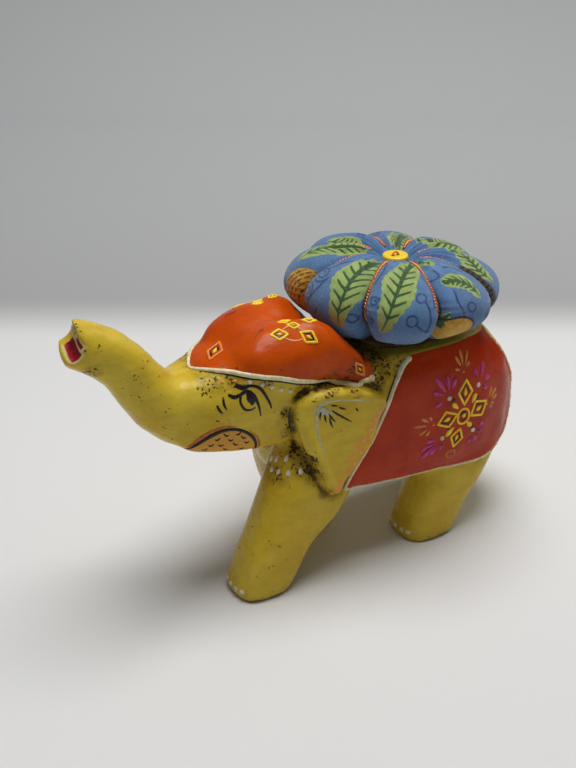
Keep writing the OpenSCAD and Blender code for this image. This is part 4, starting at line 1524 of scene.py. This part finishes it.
def make_button():
    """A flat shirt button with a soft rim, and two holes bored through it."""
    low, high = box_of("top_button")
    r, h = (high[0] - low[0]) / 2, high[2] - low[2]
    rim = spline([(r - 1.1, 0), (r - 0.45, 0.25), (r - 0.1, 0.75), (r, 1.15), (r - 0.06, 1.6),
                  (r - 0.3, h - 0.2), (r - 0.75, h), (r - 1.3, h - 0.02), (r - 1.75, h - 0.2),
                  (r - 2.3, h - 0.34), (1.9, h - 0.4)], 4)
    sides = 72
    turns = [math.tau * k / sides for k in range(sides)]
    points = [(math.cos(a) * x, math.sin(a) * x, z) for x, z in rim for a in turns]
    blank = new_mesh("button_blank", np.array(points) + (AXIS_X, 0, low[2]), tube_faces(len(rim), sides))
    button = new_object("button_blank", blank)
    cutters = []
    for s in (-1, 1):
        drill = bmesh.new()
        place = Vector((AXIS_X + s * HOLE_X, 0, low[2] + 1)) * MM
        bmesh.ops.create_cone(drill, cap_ends=True, segments=28, radius1=HOLE_R * MM, radius2=HOLE_R * MM,
                              depth=8 * MM, matrix=Matrix.Translation(place))
        mesh = bpy.data.meshes.new("drill")
        drill.to_mesh(mesh)
        drill.free()
        cutters.append(new_object(f"drill_{s}", mesh))
        cut = button.modifiers.new(f"hole_{s}", "BOOLEAN")
        cut.object, cut.solver = cutters[-1], "EXACT"
    depsgraph = bpy.context.evaluated_depsgraph_get()
    mesh = bpy.data.meshes.new_from_object(button.evaluated_get(depsgraph))
    for o in [button, *cutters]:
        bpy.data.objects.remove(o)
    place_piece("yellow_button", mesh, button_plastic(), "cushion", ["top_button"])


def dress(node, material):
    """Gives a CAD node that is shown as it is its material."""
    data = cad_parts[node].data
    data.materials.clear()
    data.materials.append(material)


make_camera()
make_stage()
make_lights()
PAINTS = {
    "cream": thick_paint("cream_paint", (236, 228, 192), (208, 194, 146)),
    "white": thick_paint("white_paint", (226, 222, 204), (196, 190, 168)),
    "black": thick_paint("black_paint", (16, 15, 16), (34, 28, 24), 0.3),
    "yellow": thick_paint("yellow_paint", (255, 222, 50), (240, 190, 30)),
    "magenta": thick_paint("magenta_paint", (214, 66, 140), (176, 52, 130)),
    "orange": thick_paint("orange_paint", (236, 142, 66), (216, 118, 50)),
    "plum": thick_paint("plum_paint", (78, 18, 48), (52, 14, 36)),
    "tan": thick_paint("tan_paint", (226, 146, 72), (196, 116, 54)),
    "rust": thick_paint("rust_paint", (196, 116, 44), (160, 84, 32)),
    "grey": thick_paint("grey_paint", (196, 194, 168), (170, 164, 128), 0.45),
    "pink": thick_paint("pink_paint", (240, 178, 138), (226, 150, 106)),
}
WOOD = make_elephant()
for side_name, side_sign in SIDES.items():
    make_flower(side_name, side_sign)
    make_blanket_edge(side_name, side_sign)
make_cap_edge()
make_forehead_dots()
make_eyes()
make_cheeks()
make_ears()
make_cap_motifs()
make_toenails()
PUFF = puff(40, SEGMENTS * COARSE)
make_cushion()
make_button()
dress("button_thread", cotton_thread())
dress("anchor_button", dark_plastic())
dress("seat_block", turned_wood())
